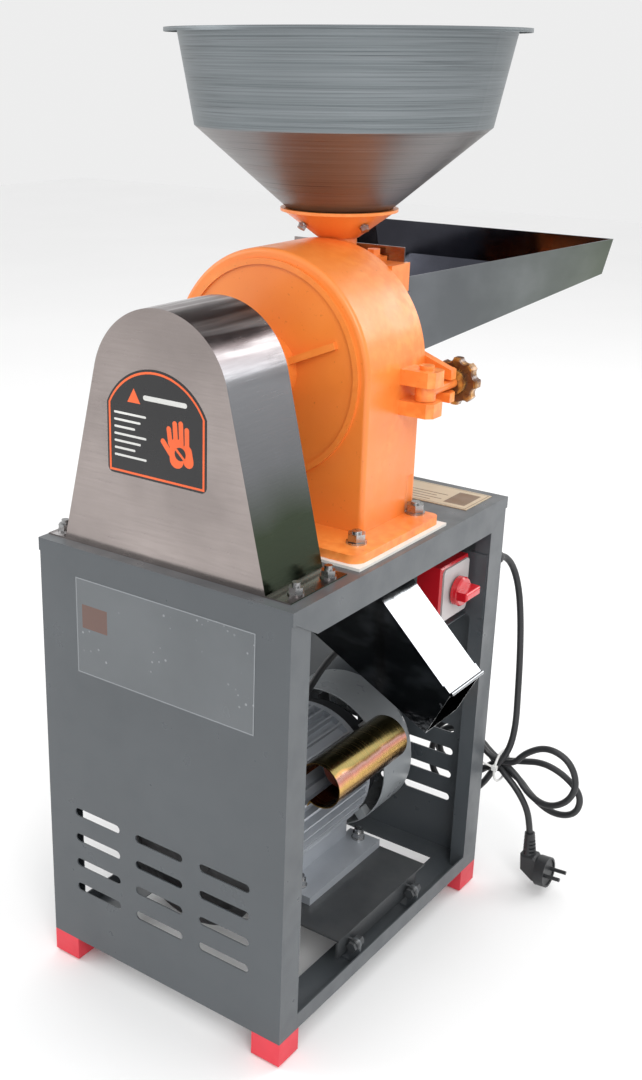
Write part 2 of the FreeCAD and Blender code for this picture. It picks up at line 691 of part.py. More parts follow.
fixed_plate = pad_at_y("FixedPlate", [round_outline(96)], DF - 4.3, 4, holes=[(MX, SZ + 10, 30.0)])
part("fixed_disc", union("FixedDisc", fixed_plate, *[
    rod(MX + 58 * math.cos(math.radians(22.5 * i)), DF - 13, SZ + 58 * math.sin(math.radians(22.5 * i)), 4, 9, "y")
    for i in range(16) if abs(22.5 * i - 90) > 40]))

CX, CY, CZ = S.clamp_x, S.clamp_y, S.clamp_z
part("swing_pin", raw("SwingPin", Part.makeCylinder(5, 50, Vector(CX, CY, 632)).fuse(
    Part.makeCylinder(7.5, 4, Vector(CX, CY, 681.1)))))
eye = Part.makeCylinder(10.5, 15, Vector(CX, CY, CZ - 7.5)).fuse(
    Part.makeCylinder(S.rod_radius, 92, Vector(CX, CY, CZ), Y))
part("swing_bolt", raw("SwingBolt", eye.cut(Part.makeCylinder(5.3, 20, Vector(CX, CY, CZ - 10)))))


def star(radius, thick, lobes):
    """Star-shaped hand knob with a hub in front and a threaded bore."""
    body = Part.makeCylinder(radius, thick, Vector(), Z)
    for i in range(lobes):
        angle = 2 * math.pi * (i + 0.5) / lobes
        scoop = Part.makeCylinder(7, thick + 2, Vector((radius + 3.2) * math.cos(angle),
                                                       (radius + 3.2) * math.sin(angle), -1))
        body = body.cut(scoop)
    rim = [e for e in body.Edges if abs(e.BoundBox.ZMin - e.BoundBox.ZMax) < 1e-6]
    body = body.makeChamfer(1.5, rim)
    hub = Part.makeCylinder(13, 6, Vector(0, 0, -5.5))
    return body.fuse(hub).cut(Part.makeCylinder(S.rod_radius + 0.3, 60, Vector(0, 0, -10)))


knob_solid = star(S.star_radius, S.star_thick, 8)
knob_solid.Placement = Placement(Vector(CX, S.star_front, CZ), TURN["y"])
part("star_knob", raw("StarKnob", knob_solid))

# --- Hopper, collar and tray ------------------------------------------------------------------------

NY = S.neck_y
NR = S.neck_radius
LOW = S.collar_low
collar_cone = turned("CollarCone", [(NR - 4, 0), (NR + 2, 0), (S.collar_radius - 3, 27), (S.collar_radius, 27),
                               (S.collar_radius, 30), (S.collar_radius - 5.5, 30), (NR - 2, 3), (NR - 4, 3)])
collar_cone.Placement = Placement(Vector(MX, NY, LOW), Rotation())
SCREW_ANGLES = [-22 + 90 * i for i in range(4)]


def screw_line(angle):
    """Place and direction of a screw through the cone, square to it."""
    a = math.radians(angle)
    return (Vector(MX + 44.5 * math.cos(a), NY + 44.5 * math.sin(a), LOW + 15.6),
            Vector(math.cos(a) * 0.57, math.sin(a) * 0.57, -0.82))


def screw_hole(angle):
    point, out = screw_line(angle)
    return Part.makeCylinder(2.7, 12, point - out * 6, out)


part("hopper_collar", minus("CollarDrilled", collar_cone,
                            *[raw("CollarHole%d" % i, screw_hole(a)) for i, a in enumerate(SCREW_ANGLES)]))
HS = S.hopper_skin
W, WZ, T, TZ, RIM = S.hopper_waist, S.hopper_waist_z, S.hopper_wall, S.hopper_top, S.hopper_rim
hopper_body = turned("HopperSpun", [
    (25.2, 804.0), (26.6, 804.0), (52.4, 822.1), (W, WZ), (T, TZ - HS), (RIM, TZ - HS), (RIM, TZ - 4),
    (RIM + HS, TZ - 4), (RIM + HS, TZ), (T - HS, TZ), (W - HS, WZ + 0.6), (51.3, 823.1), (25.0, 804.9)])
hopper_body.Placement = Placement(Vector(MX, NY, 0), Rotation())
part("hopper", hopper_body)


def collar_bolt(angle):
    """Small screw through the cone, its shank ending inside the sheet."""
    point, out = screw_line(angle)
    return bolt(point + out * 1.0, out, 2.5, 2.2, 8, 4, 1.0)


part("neck_bolt", raw("NeckBolt", bolt(Vector(MX + 40, 108, S.inlet_top + 5.05), Z, 4, 1.0, 13, 6, 1.5)))
part("baffle_plate", span(MX - IH + IW + 0.3, MX + IH - IW - 0.3, 120.4, 122.2, S.inlet_top - 42, S.inlet_top + 15))


def tray_section(y, top_half, bottom_half, top_z, bottom_z, inset=0.0):
    """Cross-section of the tray, open above when inset."""
    lift = 60 if inset else 0
    slope = (top_half - bottom_half) / (top_z - bottom_z)
    extra = slope * lift
    return Part.makePolygon([
        Vector(MX - top_half + inset - extra, y, top_z + lift), Vector(MX - bottom_half + inset, y, bottom_z + inset),
        Vector(MX + bottom_half - inset, y, bottom_z + inset), Vector(MX + top_half - inset + extra, y, top_z + lift),
        Vector(MX - top_half + inset - extra, y, top_z + lift)])


TF, TR, TS = S.tray_front, S.tray_rear, S.tray_skin
NEAR, FAR = (IH, 66, 757, 666), (165.5, 156, 771.5, 729.5)


def between(t):
    return [a + (b - a) * t for a, b in zip(NEAR, FAR)]


back_t = 1 - TS / (TR - TF)
tray_outer = Part.makeLoft([tray_section(TF, *NEAR), tray_section(TR, *FAR)], True, True)
tray_inner = Part.makeLoft([tray_section(TF - 0.0, *NEAR, inset=TS), tray_section(TR - TS, *between(back_t), inset=TS)],
                           True, True)
tray_solid = tray_outer.cut(tray_inner)
for sign in (-1, 1):
    x0 = MX + sign * (IH + 0.2) if sign > 0 else MX - IH - 0.2 - TS
    tab = Part.makeBox(TS, TF + TS - 110, 30, Vector(x0, 110, 712)).cut(
        Part.makeCylinder(2.7, 6, Vector(x0 - 2, 116, 727), X))
    web_x = MX + IH - 2 if sign > 0 else MX - IH - 0.2 - TS
    web = Part.makeBox(2.2 + TS, TS, 30, Vector(web_x, TF, 712))
    tray_solid = tray_solid.fuse(tab).fuse(web)
part("feed_tray", raw("TraySheet", tray_solid.removeSplitter()))
SCREWS = [raw("CollarScrew%d" % i, collar_bolt(a)) for i, a in enumerate(SCREW_ANGLES)]
for sign in (-1, 1):
    SCREWS.append(raw("TrayScrew%d" % sign, bolt(Vector(MX + sign * (IH + 0.22 + TS), 116, 727), Vector(sign, 0, 0),
                                                 2.5, 0.3, 8, 4, 1.0)))
part("feed_screws", group("FeedScrews", *SCREWS))

# --- Belt guard -------------------------------------------------------------------------------------

GX = S.mill_x + 1
GA, GAZ = S.guard_arc, S.guard_arc_z


def guard_outline(inset, low):
    """Tapering sides running into a half-round top; the inset gives the parallel inner outline."""
    half = S.guard_half - inset * 1.035
    radius = GA - inset
    drop = GAZ - S.stand_top
    reach = math.hypot(half, drop)
    tangent = -math.atan2(drop, half) + math.acos(radius / reach)
    tx, tz = radius * math.cos(tangent), radius * math.sin(tangent)
    slope = (half - tx) / (drop + tz)
    foot_x = half + slope * (S.stand_top - low)
    return [(GX - foot_x, low), (GX + foot_x, low), (GX + tx, GAZ + tz),
            ("arc", (GX, GAZ + radius), (GX - tx, GAZ + tz))]


GF, GR, GS = S.guard_front, S.guard_rear, S.guard_skin
guard_blank = pad_at_y("GuardBlank", [guard_outline(0, S.stand_top + 0.1)], GF, "guard_rear - guard_front")
guard_hollow = pad_at_y("GuardHollow", [guard_outline(GS, S.stand_top - 5)], GF + GS, "guard_rear - guard_front + 5")
guard_shell = minus("GuardShell", guard_blank, guard_hollow)
flange_right = span(GX + S.guard_half - 2, GX + S.guard_half + S.guard_flange - 2, GF, GR,
                    S.stand_top + 0.1, S.stand_top + 0.1 + GS)
flange_left = span(-HALF + 1, GX - S.guard_half + 2, GF, GR, S.stand_top + 0.1, S.stand_top + 0.1 + GS)
part("belt_guard", union("Guard", guard_shell, flange_right, flange_left))
GUARD_BOLTS = [(136, -176), (136, -122), (-149, -183), (-149, -122)]
part("guard_bolts", group("GuardBolts", *[
    raw("GuardBolt%d" % i, bolt(Vector(x, y, S.stand_top + 0.15 + GS), Z, 4, 0.05, 13, 6, 1.6).fuse(
        Part.makeCylinder(4, 12, Vector(x, y, S.stand_top + 0.15 + GS)))) for i, (x, y) in enumerate(GUARD_BOLTS)]))
DECAL_X = (-72, 49)
decal = pad_at_y("GuardLabel", [[(DECAL_X[0] + 6, 595), (DECAL_X[1] - 6, 595), ("arc", (DECAL_X[1] - 1.8, 596.8),
                                 (DECAL_X[1], 601)), (DECAL_X[1], 665),
                                 ("arc", (sum(DECAL_X) / 2, 703), (DECAL_X[0], 665)), (DECAL_X[0], 601),
                                 ("arc", (DECAL_X[0] + 1.8, 596.8), (DECAL_X[0] + 6, 595))]],
                 GF - 0.35, 0.3)
part("guard_decal", decal)
part("panel_decal", span(-108, 118, -DEEP - 0.3, -DEEP - 0.05, 373, 479))
part("name_plate", span(-40, 145, 139, 200, S.stand_top + 0.05, S.stand_top + 0.85))

# --- Outlet chute -----------------------------------------------------------------------------------

CF, CR, CS = S.chute_front, S.chute_rear, S.chute_skin
CHUTE = [(-69, 507.5), (-69, 453), (193, 316), (218, 367), (92, 490), (92, 507.5)]
slide = Vector(193 + 69, 0, 316 - 453).normalize()
mouth = Vector(25, 0, 51).normalize()


def chute_inside():
    """Inner outline: every wall moved in by the sheet, both ends running out."""
    low = [(-69 + CS, 520), (-69 + CS, 453 + 0.7)]
    out = (193 + 262 * 0.1 + 0.45, 316 - 137 * 0.1 + 1.2)
    top = (218 + 40, 367 - 39 - 1.7)
    return low + [out, top, (92 - CS, 490 - 0.5), (92 - CS, 520)]


chute_outer = pad_at_y("ChuteOuter", [CHUTE], CF, "chute_rear - chute_front")
chute_inner = pad_at_y("ChuteInner", [chute_inside()], CF + CS, CR - CF - 2 * CS)
lip = rod(219, CF, 368.5, 2.2, CR - CF, "y")
lip.Placement = Placement(Vector(219, CF, 368.5), TURN["y"])
strip = raw("MouthStrip", prism([Vector(218, CF, 367), Vector(209.4, CF, 375.4), Vector(210.5, CF, 376.5),
                                  Vector(219.1, CF, 368.1)], Vector(0, CR - CF, 0)))
RIVETS = [raw("ChuteRivet%d%d" % (i, s), Part.makeCylinder(3.2, 1.6, Vector(x, y, z), Vector(0, s, 0)))
          for y, s in ((CF, -1), (CR, 1)) for i, (x, z) in enumerate(((206, 352), (196, 331), (110, 470)))]
part("chute", union("Chute", minus("ChuteShell", chute_outer, chute_inner), lip, strip, *RIVETS))

# --- Motor ------------------------------------------------------------------------------------------

MOX, MOZ = S.motor_x, S.motor_z
BF, BR = S.body_front, S.body_rear
fins = []
for i in range(36):
    angle = 10 * i
    if 235 <= angle <= 305:
        continue
    fin = Part.makeBox(S.motor_fins - 66, BR - BF, 2.4, Vector(66, 0, -1.2))
    fin.Placement = Placement(Vector(MOX, BF, MOZ), Rotation(Y, -angle))
    fins.append(raw("Fin%d" % i, fin))
core = rod(MOX, BF, MOZ, "motor_core", "body_rear - body_front", "y")
core.Placement = Placement(Vector(MOX, BF, MOZ), TURN["y"])
motor_bore = rod(MOX, BF, MOZ, "motor_bore", "body_rear - body_front", "y")
motor_bore.Placement = Placement(Vector(MOX, BF, MOZ), TURN["y"])
MOUNT = S.mount_top
FEET_Y = (-32, 93)
pads = []
for sign in (-1, 1):
    x0 = MOX + sign * 70
    pads.append(raw("FootPad%d" % sign, Part.makeBox(42, 152, 10, Vector(x0 - 21 + sign * 2, -46, MOUNT)).cut(
        Part.makeCompound([Part.makeCylinder(5.2, 10, Vector(x0, y, MOUNT)) for y in FEET_Y]))))
    pads.append(raw("FootWeb%d" % sign, prism([
        Vector(MOX + sign * 38, -40, 112), Vector(MOX + sign * 49, -40, MOUNT + 1),
        Vector(MOX + sign * 56, -40, MOUNT + 1), Vector(MOX + sign * 56, -40, 130)], Vector(0, 128, 0))))
CAP_DIR = Vector(92, 0, 60).normalize()
CAP_C = Vector(MOX, 0, MOZ) + CAP_DIR * S.cap_distance
CAP_ROT = Rotation(Vector(CAP_DIR.z, 0, -CAP_DIR.x), Vector(0, 1, 0), CAP_DIR, "ZXY")
CAP = Placement(CAP_C, CAP_ROT)
saddle = Part.makeBox(22, 34, 20, Vector(-11, 26, -41.4))
saddle.Placement = CAP
pads.append(raw("CapSaddle", saddle))
terminal_pad = Part.makeBox(56, 60, 16, Vector(MOX - 28, -50, MOZ + 66))
pads.append(raw("TerminalPad", terminal_pad))
part("motor_body", minus("MotorBody", union("MotorShell", core, *(fins + pads)), motor_bore))


def end_shield(name, y, depth, inward):
    """Motor end shield: a dished disc with a bearing seat; its flat rim meets the body."""
    profile = [(12.3, 0), (30, 0), (34, 3), (72, depth - 10), (78, depth - 8), (78, depth),
               (66, depth), (62, depth - 4), (30, depth - 8), (30, depth), (23.6, depth),
               (23.6, depth - 14), (12.3, depth - 14)]
    body = turned(name, profile, MOX, MOZ, "y", y)
    if not inward:
        body.Placement = Placement(Vector(MOX, y, MOZ), Rotation(Z, -Y))
    return body


DEPTH = BF - S.motor_front
part("motor_end_front", end_shield("EndFront", S.motor_front, DEPTH, True))
part("motor_end_rear", end_shield("EndRear", BR + 19.9, 19.9, False))
part("motor_bearings", group("MotorBearings",
                             raw("MotorBearingFront", bearing(BF - 13.9, MOX, MOZ, 12.06, 23.55, 13.8)),
                             raw("MotorBearingRear", bearing(BR + 0.1, MOX, MOZ, 12.06, 23.55, 13.8))))
part("motor_stator", turned("Stator", [(48, 0), (61.9, 0), (61.9, 90), (48, 90)], MOX, MOZ, "y", -30))
SHAFT_MY = S.belt_y - 16
ROTOR_LEN = 145 - SHAFT_MY
part("motor_rotor", turned("MotorRotor", [
    (0, 0), (11.5, 0), (12, 0.8), (12, -30 - SHAFT_MY), (47.5, -30 - SHAFT_MY), (47.5, 60 - SHAFT_MY),
    (12, 60 - SHAFT_MY), (12, ROTOR_LEN), (0, ROTOR_LEN)], MOX, MOZ, "y", SHAFT_MY))
part("motor_pulley", turned("MotorPulley", pulley_profile(S.motor_pulley_radius, 12.0, 30), MOX, MOZ, "y", PULLEY_Y))
fan_hub = turned("FanHub", [(12.0, 0), (20, 0), (20, 4), (70, 4), (70, 6), (20, 6), (20, 22), (12.0, 22)],
                 MOX, MOZ, "y", 122)
blades = []
for i in range(7):
    blade = Part.makeBox(56, 20, 2, Vector(19, 5, -1))
    blade.Placement = Placement(Vector(MOX, 122, MOZ), Rotation(Y, 360 / 7 * i))
    blades.append(raw("Blade%d" % i, blade))
part("motor_fan", union("Fan", fan_hub, *blades))

CR_ = S.cover_radius
cover_len = S.cover_rear - S.cover_front
cover = turned("CoverBowl", [(CR_ - 1.2, 0), (CR_, 0), (CR_, cover_len - 14), (CR_ - 6, cover_len - 4),
                             (CR_ - 14, cover_len), (0, cover_len), (0, cover_len - 1.2),
                             (CR_ - 14.5, cover_len - 1.2), (CR_ - 7, cover_len - 5), (CR_ - 1.2, cover_len - 14.3)],
               MOX, MOZ, "y", S.cover_front)
grille = []
for radius in (22, 36, 50, 64):
    count = int(radius * 2 * math.pi / 16)
    for i in range(count):
        angle = 2 * math.pi * i / count
        grille.append(Part.makeCylinder(4.4, 8, Vector(MOX + radius * math.cos(angle), S.cover_rear - 5,
                                                       MOZ + radius * math.sin(angle)), Y))
spacers = [raw("CoverTab%d" % i, Part.makeBox(14, 12, 12.6, Vector(-7, 0, 78.2))) for i in range(4)]
for i, tab in enumerate(spacers):
    tab.Placement = Placement(Vector(MOX, S.cover_front - 5 + 5, MOZ), Rotation(Y, 45 + 90 * i))
part("fan_cover", minus("FanCover", union("CoverWithTabs", cover, *spacers), raw("Grille", Part.makeCompound(grille))))

box_z = MOZ + 82
terminal = Part.makeBox(74, 72, 34, Vector(MOX - 37, -56, box_z)).cut(
    Part.makeBox(68, 66, 32, Vector(MOX - 34, -53, box_z + 3))).cut(
    Part.makeCylinder(5.2, 10, Vector(MOX + 12, 9, box_z + 18), Y))
part("terminal_box", raw("TerminalTray", terminal))
lid = Part.makeBox(78, 76, 4, Vector(MOX - 39, -58, box_z + 34.1))
part("terminal_lid", raw("TerminalLid", lid.makeChamfer(1.5, [e for e in lid.Edges if e.BoundBox.ZMin > box_z + 38])))

capacitor = Part.makeCylinder(S.cap_radius, 88, Vector(0, 4, 0), Y)
capacitor = capacitor.makeFillet(3, [e for e in capacitor.Edges if e.BoundBox.YMax - e.BoundBox.YMin < 0.01])
capacitor.Placement = CAP
part("capacitor", raw("Capacitor", capacitor))


def rolled_cover():
    """Rolled sheet hood round the capacitor, open at both ends, its edges turned out beside the saddle."""
    r, t, wing, half = S.cap_cover, 1.2, S.cap_wing, S.cap_gap / 2
    length, start = S.cap_rear - S.cap_front, Vector(0, S.cap_front, 0)
    reach = Vector(2 * r * math.sin(math.radians(half)), 0, -2 * r * math.cos(math.radians(half)))
    wedge = prism([start, start + reach, start + Vector(-reach.x, 0, reach.z)], Vector(0, length, 0))
    solid = Part.makeCylinder(r, length, start, Y).cut(Part.makeCylinder(r - t, length, start, Y)).cut(wedge)
    for sign in (-1, 1):
        lip = Part.makeBox(t, length, wing + t, Vector(0 if sign > 0 else -t, S.cap_front, -r - wing))
        lip.rotate(Vector(), Y, -sign * half)
        solid = solid.fuse(lip)
    solid = solid.removeSplitter()
    solid.Placement = CAP
    return solid


part("capacitor_cover", raw("CapacitorCover", rolled_cover()))

# Hinged motor plate, its brackets on the right rail, and the fasteners.
ML, MR, MT = S.mount_left, S.mount_right, S.mount_thick
plate = padded("MountPlate", "XY_Plane", [rectangle(ML, MR, -80, 108)], "mount_thick", offset=MOUNT - MT,
               holes=[(MOX + s * 70, y, 5.2) for s in (-1, 1) for y in FEET_Y])
skirt = span(MR - MT, MR, -82, 88, 49, MOUNT - MT)
stiffener = span(ML, ML + MT, -80, 108, 52, MOUNT - MT)
PX, PZ = S.pivot_x, S.pivot_z
EARS_Y = (-60, 66)


def hinge_ear(y, thick, x_from, z_from, hole):
    """Plate ear round the hinge axis."""
    ear_shape = prism([Vector(x_from, y, z_from), Vector(PX, y, z_from), Vector(PX, y, PZ + 7),
                       Vector(x_from, y, PZ + 7)], Vector(0, thick, 0))
    ear_shape = ear_shape.fuse(Part.makeCylinder(7, thick, Vector(PX, y, PZ), Y))
    return ear_shape.cut(Part.makeCylinder(hole, thick, Vector(PX, y, PZ), Y))


mount_ears = [raw("MountEar%d" % i, hinge_ear(y, 3, MR - 1, 51, 4.0)) for i, y in enumerate(EARS_Y)]
part("motor_base", union("MotorBase", plate, skirt, stiffener, *mount_ears))


def bracket(y):
    """Fixed hinge bracket: an upright ear beside the moving one, standing on the rail's web."""
    ear_low = 30 + S.skin + 0.05
    upright = prism([Vector(PX - 7, y, ear_low), Vector(PX + 6, y, ear_low), Vector(PX + 6, y, PZ),
                     Vector(PX - 7, y, PZ)], Vector(0, 3, 0))
    upright = upright.fuse(Part.makeCylinder(6.5, 3, Vector(PX, y, PZ), Y))
    upright = upright.fuse(Part.makeBox(22, 18, 3, Vector(PX - 16, y, ear_low)))
    return upright.cut(Part.makeCylinder(4.0, 3, Vector(PX, y, PZ), Y))


part("hinge_brackets", group("HingeBrackets", *[raw("Bracket%d" % i, bracket(y + 3.6)) for i, y in enumerate(EARS_Y)]))


def hinge_bolt(y):
    pin = bolt(Vector(PX, y - 0.4, PZ), -Y, S.pivot_radius, 16, 11, 4.5, 1.0)
    nut = hex_solid(11, 5, facing(Vector(PX, y + 7.4, PZ), Y))
    return pin.fuse(nut.cut(Part.makeCylinder(3, 1, Vector(PX, 900, PZ), Y)))


part("hinge_bolts", group("HingeBolts", *[raw("HingeBolt%d" % i, hinge_bolt(y)) for i, y in enumerate(EARS_Y)]))


def motor_bolt(x, y):
    stud = bolt(Vector(x, y, MOUNT + 10.05), Z, 4.9, 16, 13, 7, 2)
    stud = stud.fuse(Part.makeCylinder(4.9, 14, Vector(x, y, MOUNT + 10)))
    return stud.fuse(hex_solid(13, 6, facing(Vector(x, y, MOUNT - MT - 6.05), Z)))


part("motor_bolts", group("MotorBolts", *[raw("MotorBolt%d%d" % (i, j), motor_bolt(MOX + s * 70, y))
                                          for i, s in enumerate((-1, 1)) for j, y in enumerate(FEET_Y)]))

# --- Switch -----------------------------------------------------------------------------------------

SX, SY, SW_Z = S.switch_x, S.switch_y, S.switch_z
SW, ST, SD = S.switch_width, S.switch_tall, S.switch_deep
back_x = SX - 2 - SD - 1.6
BRACKET_Y1 = DEEP - S.post_return - 0.1
bracket_plate = span(back_x - 1.5, back_x, SY - SW / 2 + 4, BRACKET_Y1, SW_Z - 44, SW_Z + 34)
bracket_tab = span(back_x, SIDE - S.skin - 0.1, BRACKET_Y1 - 1.5, BRACKET_Y1, SW_Z - 44, SW_Z + 34)
bracket_shelf = span(back_x, SX - 4, SY - SW / 2 + 4, BRACKET_Y1 - 1.5, SW_Z - 44, SW_Z - 42.5)
cable_hole = rod(SX - 14, SY, SW_Z - 46, 6, 6)
part("switch_bracket", minus("SwitchBracket", union("BracketFolds", bracket_plate, bracket_tab, bracket_shelf),
                             cable_hole))
switch_body = Part.makeBox(SD, SW + 5, ST + 5, Vector(SX - 2 - SD, SY - SW / 2 - 2.5, SW_Z - ST / 2 - 2.5))
switch_body = switch_body.makeChamfer(2, [e for e in switch_body.Edges if e.BoundBox.XMin > SX - 2.1])
BORE = Part.makeCylinder(4.3, 22, Vector(SX - 22, SY, SW_Z), X)
LOWER = Part.makeCylinder(4.3, 12, Vector(SX - 14, SY, SW_Z - ST / 2 - 3), Z)
part("switch_box", raw("SwitchBox", switch_body.cut(BORE).cut(LOWER)))
face = Part.makeBox(2.2, SW, ST, Vector(SX - 1.95, SY - SW / 2, SW_Z - ST / 2))
face = face.makeFillet(5, [e for e in face.Edges if abs(e.BoundBox.XLength - 2.2) < 0.01])
part("switch_plate", raw("SwitchPlate", face.cut(Part.makeCylinder(12.3, 3, Vector(SX - 2, SY, SW_Z), X))))
KNOB = turned("KnobBase", [(0, 0), (3.9, 0), (3.9, 18), (12, 18), (12, 20.6), (17, 20.6), (17, 27), (15.5, 29),
                           (0, 29)], SY, SW_Z, "x", SX - 18)
KNOB.Placement = Placement(Vector(SX - 18, SY, SW_Z), TURN["x"])
bar = Part.makeBox(13, 33, 10, Vector(SX + 10, SY - 16.5, SW_Z - 5))
bar = bar.makeFillet(3, [e for e in bar.Edges if e.BoundBox.XMin > SX + 22])
part("switch_knob", union("SwitchKnob", KNOB, raw("KnobBar", bar)))

# --- Cables -----------------------------------------------------------------------------------------

CORD = S.cord_radius
GLAND_END = GLAND.y + 17
gland = turned("GlandBody", [(CORD + 0.3, -6), (5, -6), (5, 0.1), (8.5, 0.1), (8.5, 4), (7.2, 4), (7.2, 9), (8.2, 9),
                             (8.2, 14), (7.4, 17), (CORD + 2.4, 17), (CORD + 0.35, 1)], GLAND.x, GLAND.z, "y", GLAND.y)
part("cable_gland", gland)

PLUG_AT = Vector(212, 248, 73)
TIE = Vector(166, 248.4, 151.8)
# The cord leaves the gland, drops, and is wound in a hank of five loops through one cable tie.
CORD_ROUTE = [Vector(*p) for p in (
    (GLAND.x, GLAND.y - 2, GLAND.z), (147, 240, 429), (151, 260, 412), (158, 267, 384), (166, 263, 348),
    (173, 256, 302), (178, 249, 256), (182, 243, 214), (178, 240, 180), (160, 241, 148), (146, 242, 120),
    (126, 242, 98), (98, 242, 95), (76, 242, 114), (70, 243, 146), (82, 244, 176), (108, 245, 190),
    (134, 245, 178), (152, 246, 159), (182, 246, 159), (198, 242, 183), (225, 241, 201), (254, 241, 193),
    (267, 242, 165), (258, 243, 136), (232, 245, 118), (204, 249, 124), (182, 253, 146), (152, 254, 158),
    (128, 257, 176), (98, 258, 180), (74, 258, 162), (76, 258, 132), (104, 258, 114), (134, 258, 126),
    (154, 259, 150), (186, 258, 160), (216, 256, 170), (246, 256, 162), (269, 256, 142), (264, 256, 114),
    (236, 256, 104), (206, 256, 118), (184, 255, 142), (152, 255, 143), (124, 261, 124), (94, 266, 116),
    (68, 267, 132), (62, 267, 162), (84, 267, 184), (116, 265, 178), (144, 257, 158), (170, 247, 144),
    (192, 245, 127), (206, 247, 104), (211, 248, 80))] + [PLUG_AT + Vector(0.6, 0, -8)]
part("mains_cord", raw("MainsCord", tube(CORD_ROUTE, CORD, "mains cord")))

MOTOR_CABLE = [
    Vector(SX - 14, SY, SW_Z - ST / 2 - 1), Vector(SX - 14, SY, 352), Vector(106, 118, 340), Vector(78, 84, 362),
    Vector(46, 66, 352), Vector(22, 58, 318), Vector(0, 52, 272), Vector(MOX + 12, 24, box_z + 18),
    Vector(MOX + 12, 6, box_z + 18.2)]
part("motor_cable", raw("MotorCable", tube(MOTOR_CABLE, 3.9, "motor cable")))


def plug_solid():
    """Right-angle earthed plug: ribbed strain relief, gripping body, round face and two pins."""
    relief = Part.makeCone(6.2, 8.6, 34, Vector(0, 0, 0), Z)
    for i in range(4):
        ring_groove = Part.makeCylinder(14, 2.2, Vector(0, 0, 8 + i * 5), Z).cut(
            Part.makeCylinder(5.6, 2.2, Vector(0, 0, 8 + i * 5), Z)).cut(
            Part.makeBox(5, 30, 3, Vector(-2.5, -15, 7.6 + i * 5)))
        relief = relief.cut(ring_groove)
    side = [Vector(-9, -10, 28), Vector(9, -10, 28), Vector(14, -10, 34), Vector(14, -10, 64), Vector(6, -10, 62),
            Vector(-9, -10, 50)]
    grip = prism(side, Vector(0, 20, 0))
    grip = grip.makeFillet(3.5, [e for e in grip.Edges if e.BoundBox.YLength < 0.01])
    face_part = Part.makeCylinder(19, 13, Vector(13, 0, 48), X).cut(Part.makeCylinder(16.5, 2, Vector(24.5, 0, 48), X))
    pins = [Part.makeCylinder(2.4, 21, Vector(23, s * 9.5, 48), X) for s in (-1, 1)]
    solid = relief.fuse([grip, face_part] + pins)
    return solid.cut(Part.makeCylinder(CORD + 0.05, 14, Vector(0, 0, -1), Z)).removeSplitter()


plug_shape = plug_solid()
plug_shape.Placement = Placement(PLUG_AT, Rotation(Vector(1, 0, 0.08), Vector(0, -1, 0), Vector(0.08, 0, -1), "ZXY"))
part("plug", raw("Plug", plug_shape))
tie = Part.makeTorus(20.1, 1.5, TIE, X)
TAIL = [Vector(164, 228.6, 157), Vector(146, 224, 163), Vector(126, 219, 160), Vector(108, 216, 150)]
tail = tube(TAIL, 1.3, "tie tail")
part("cable_tie", raw("CableTie", tie.fuse(tail).fuse(Part.makeBox(6, 5, 6, Vector(163, 225.9, 153.5)))))


# --- Check and export -------------------------------------------------------------------------------

doc.recompute()
for obj in doc.Objects:
    if "Invalid" in obj.State or "Error" in obj.State:
        raise RuntimeError("%s is not valid: %s" % (obj.Name, obj.State))
os.makedirs("parts", exist_ok=True)
for obj in PARTS:
    shape = obj.Shape
    if shape.isNull() or not shape.isValid():
        raise RuntimeError("%s has no valid shape" % obj.Label)
    shape.exportStep("parts/%s.step" % obj.Label)
    print("%-20s %d solids %10.0f mm3" % (obj.Label, len(shape.Solids), shape.Volume))
print(len(PARTS), "sub-parts")
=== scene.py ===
import math

import bmesh
import bpy
from mathutils import Matrix, Vector


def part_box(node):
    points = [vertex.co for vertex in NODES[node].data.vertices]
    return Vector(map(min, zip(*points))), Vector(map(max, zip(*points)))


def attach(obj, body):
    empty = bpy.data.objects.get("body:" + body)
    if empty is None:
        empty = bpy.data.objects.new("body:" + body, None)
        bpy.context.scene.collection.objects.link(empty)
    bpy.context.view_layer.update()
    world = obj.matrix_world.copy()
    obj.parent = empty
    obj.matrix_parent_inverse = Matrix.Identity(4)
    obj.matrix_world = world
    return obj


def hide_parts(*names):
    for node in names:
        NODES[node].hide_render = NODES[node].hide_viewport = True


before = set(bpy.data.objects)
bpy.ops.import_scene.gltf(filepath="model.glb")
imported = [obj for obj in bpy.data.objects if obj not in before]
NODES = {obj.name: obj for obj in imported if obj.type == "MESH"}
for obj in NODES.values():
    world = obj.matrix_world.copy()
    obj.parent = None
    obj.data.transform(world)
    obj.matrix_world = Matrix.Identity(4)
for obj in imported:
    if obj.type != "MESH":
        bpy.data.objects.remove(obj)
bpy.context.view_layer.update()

ORIGIN_X, ORIGIN_Y = 14, 117  # the row frame's origin, in millimetres from the middle of the stand


def at(x, y, z):
    """A point in millimetres from the middle of the stand's floor outline, as metres in the row frame."""
    return Vector(((x - ORIGIN_X) / 1000, (y - ORIGIN_Y) / 1000, z / 1000))


# ---- Camera -----------------------------------------------------------------------------------------

CAMERA_PLACE = (763.0, -1113.7, 977.7)
CAMERA_TURN, CAMERA_DOWN, CAMERA_ROLL = 37.88, 20.83, 0.32  # degrees

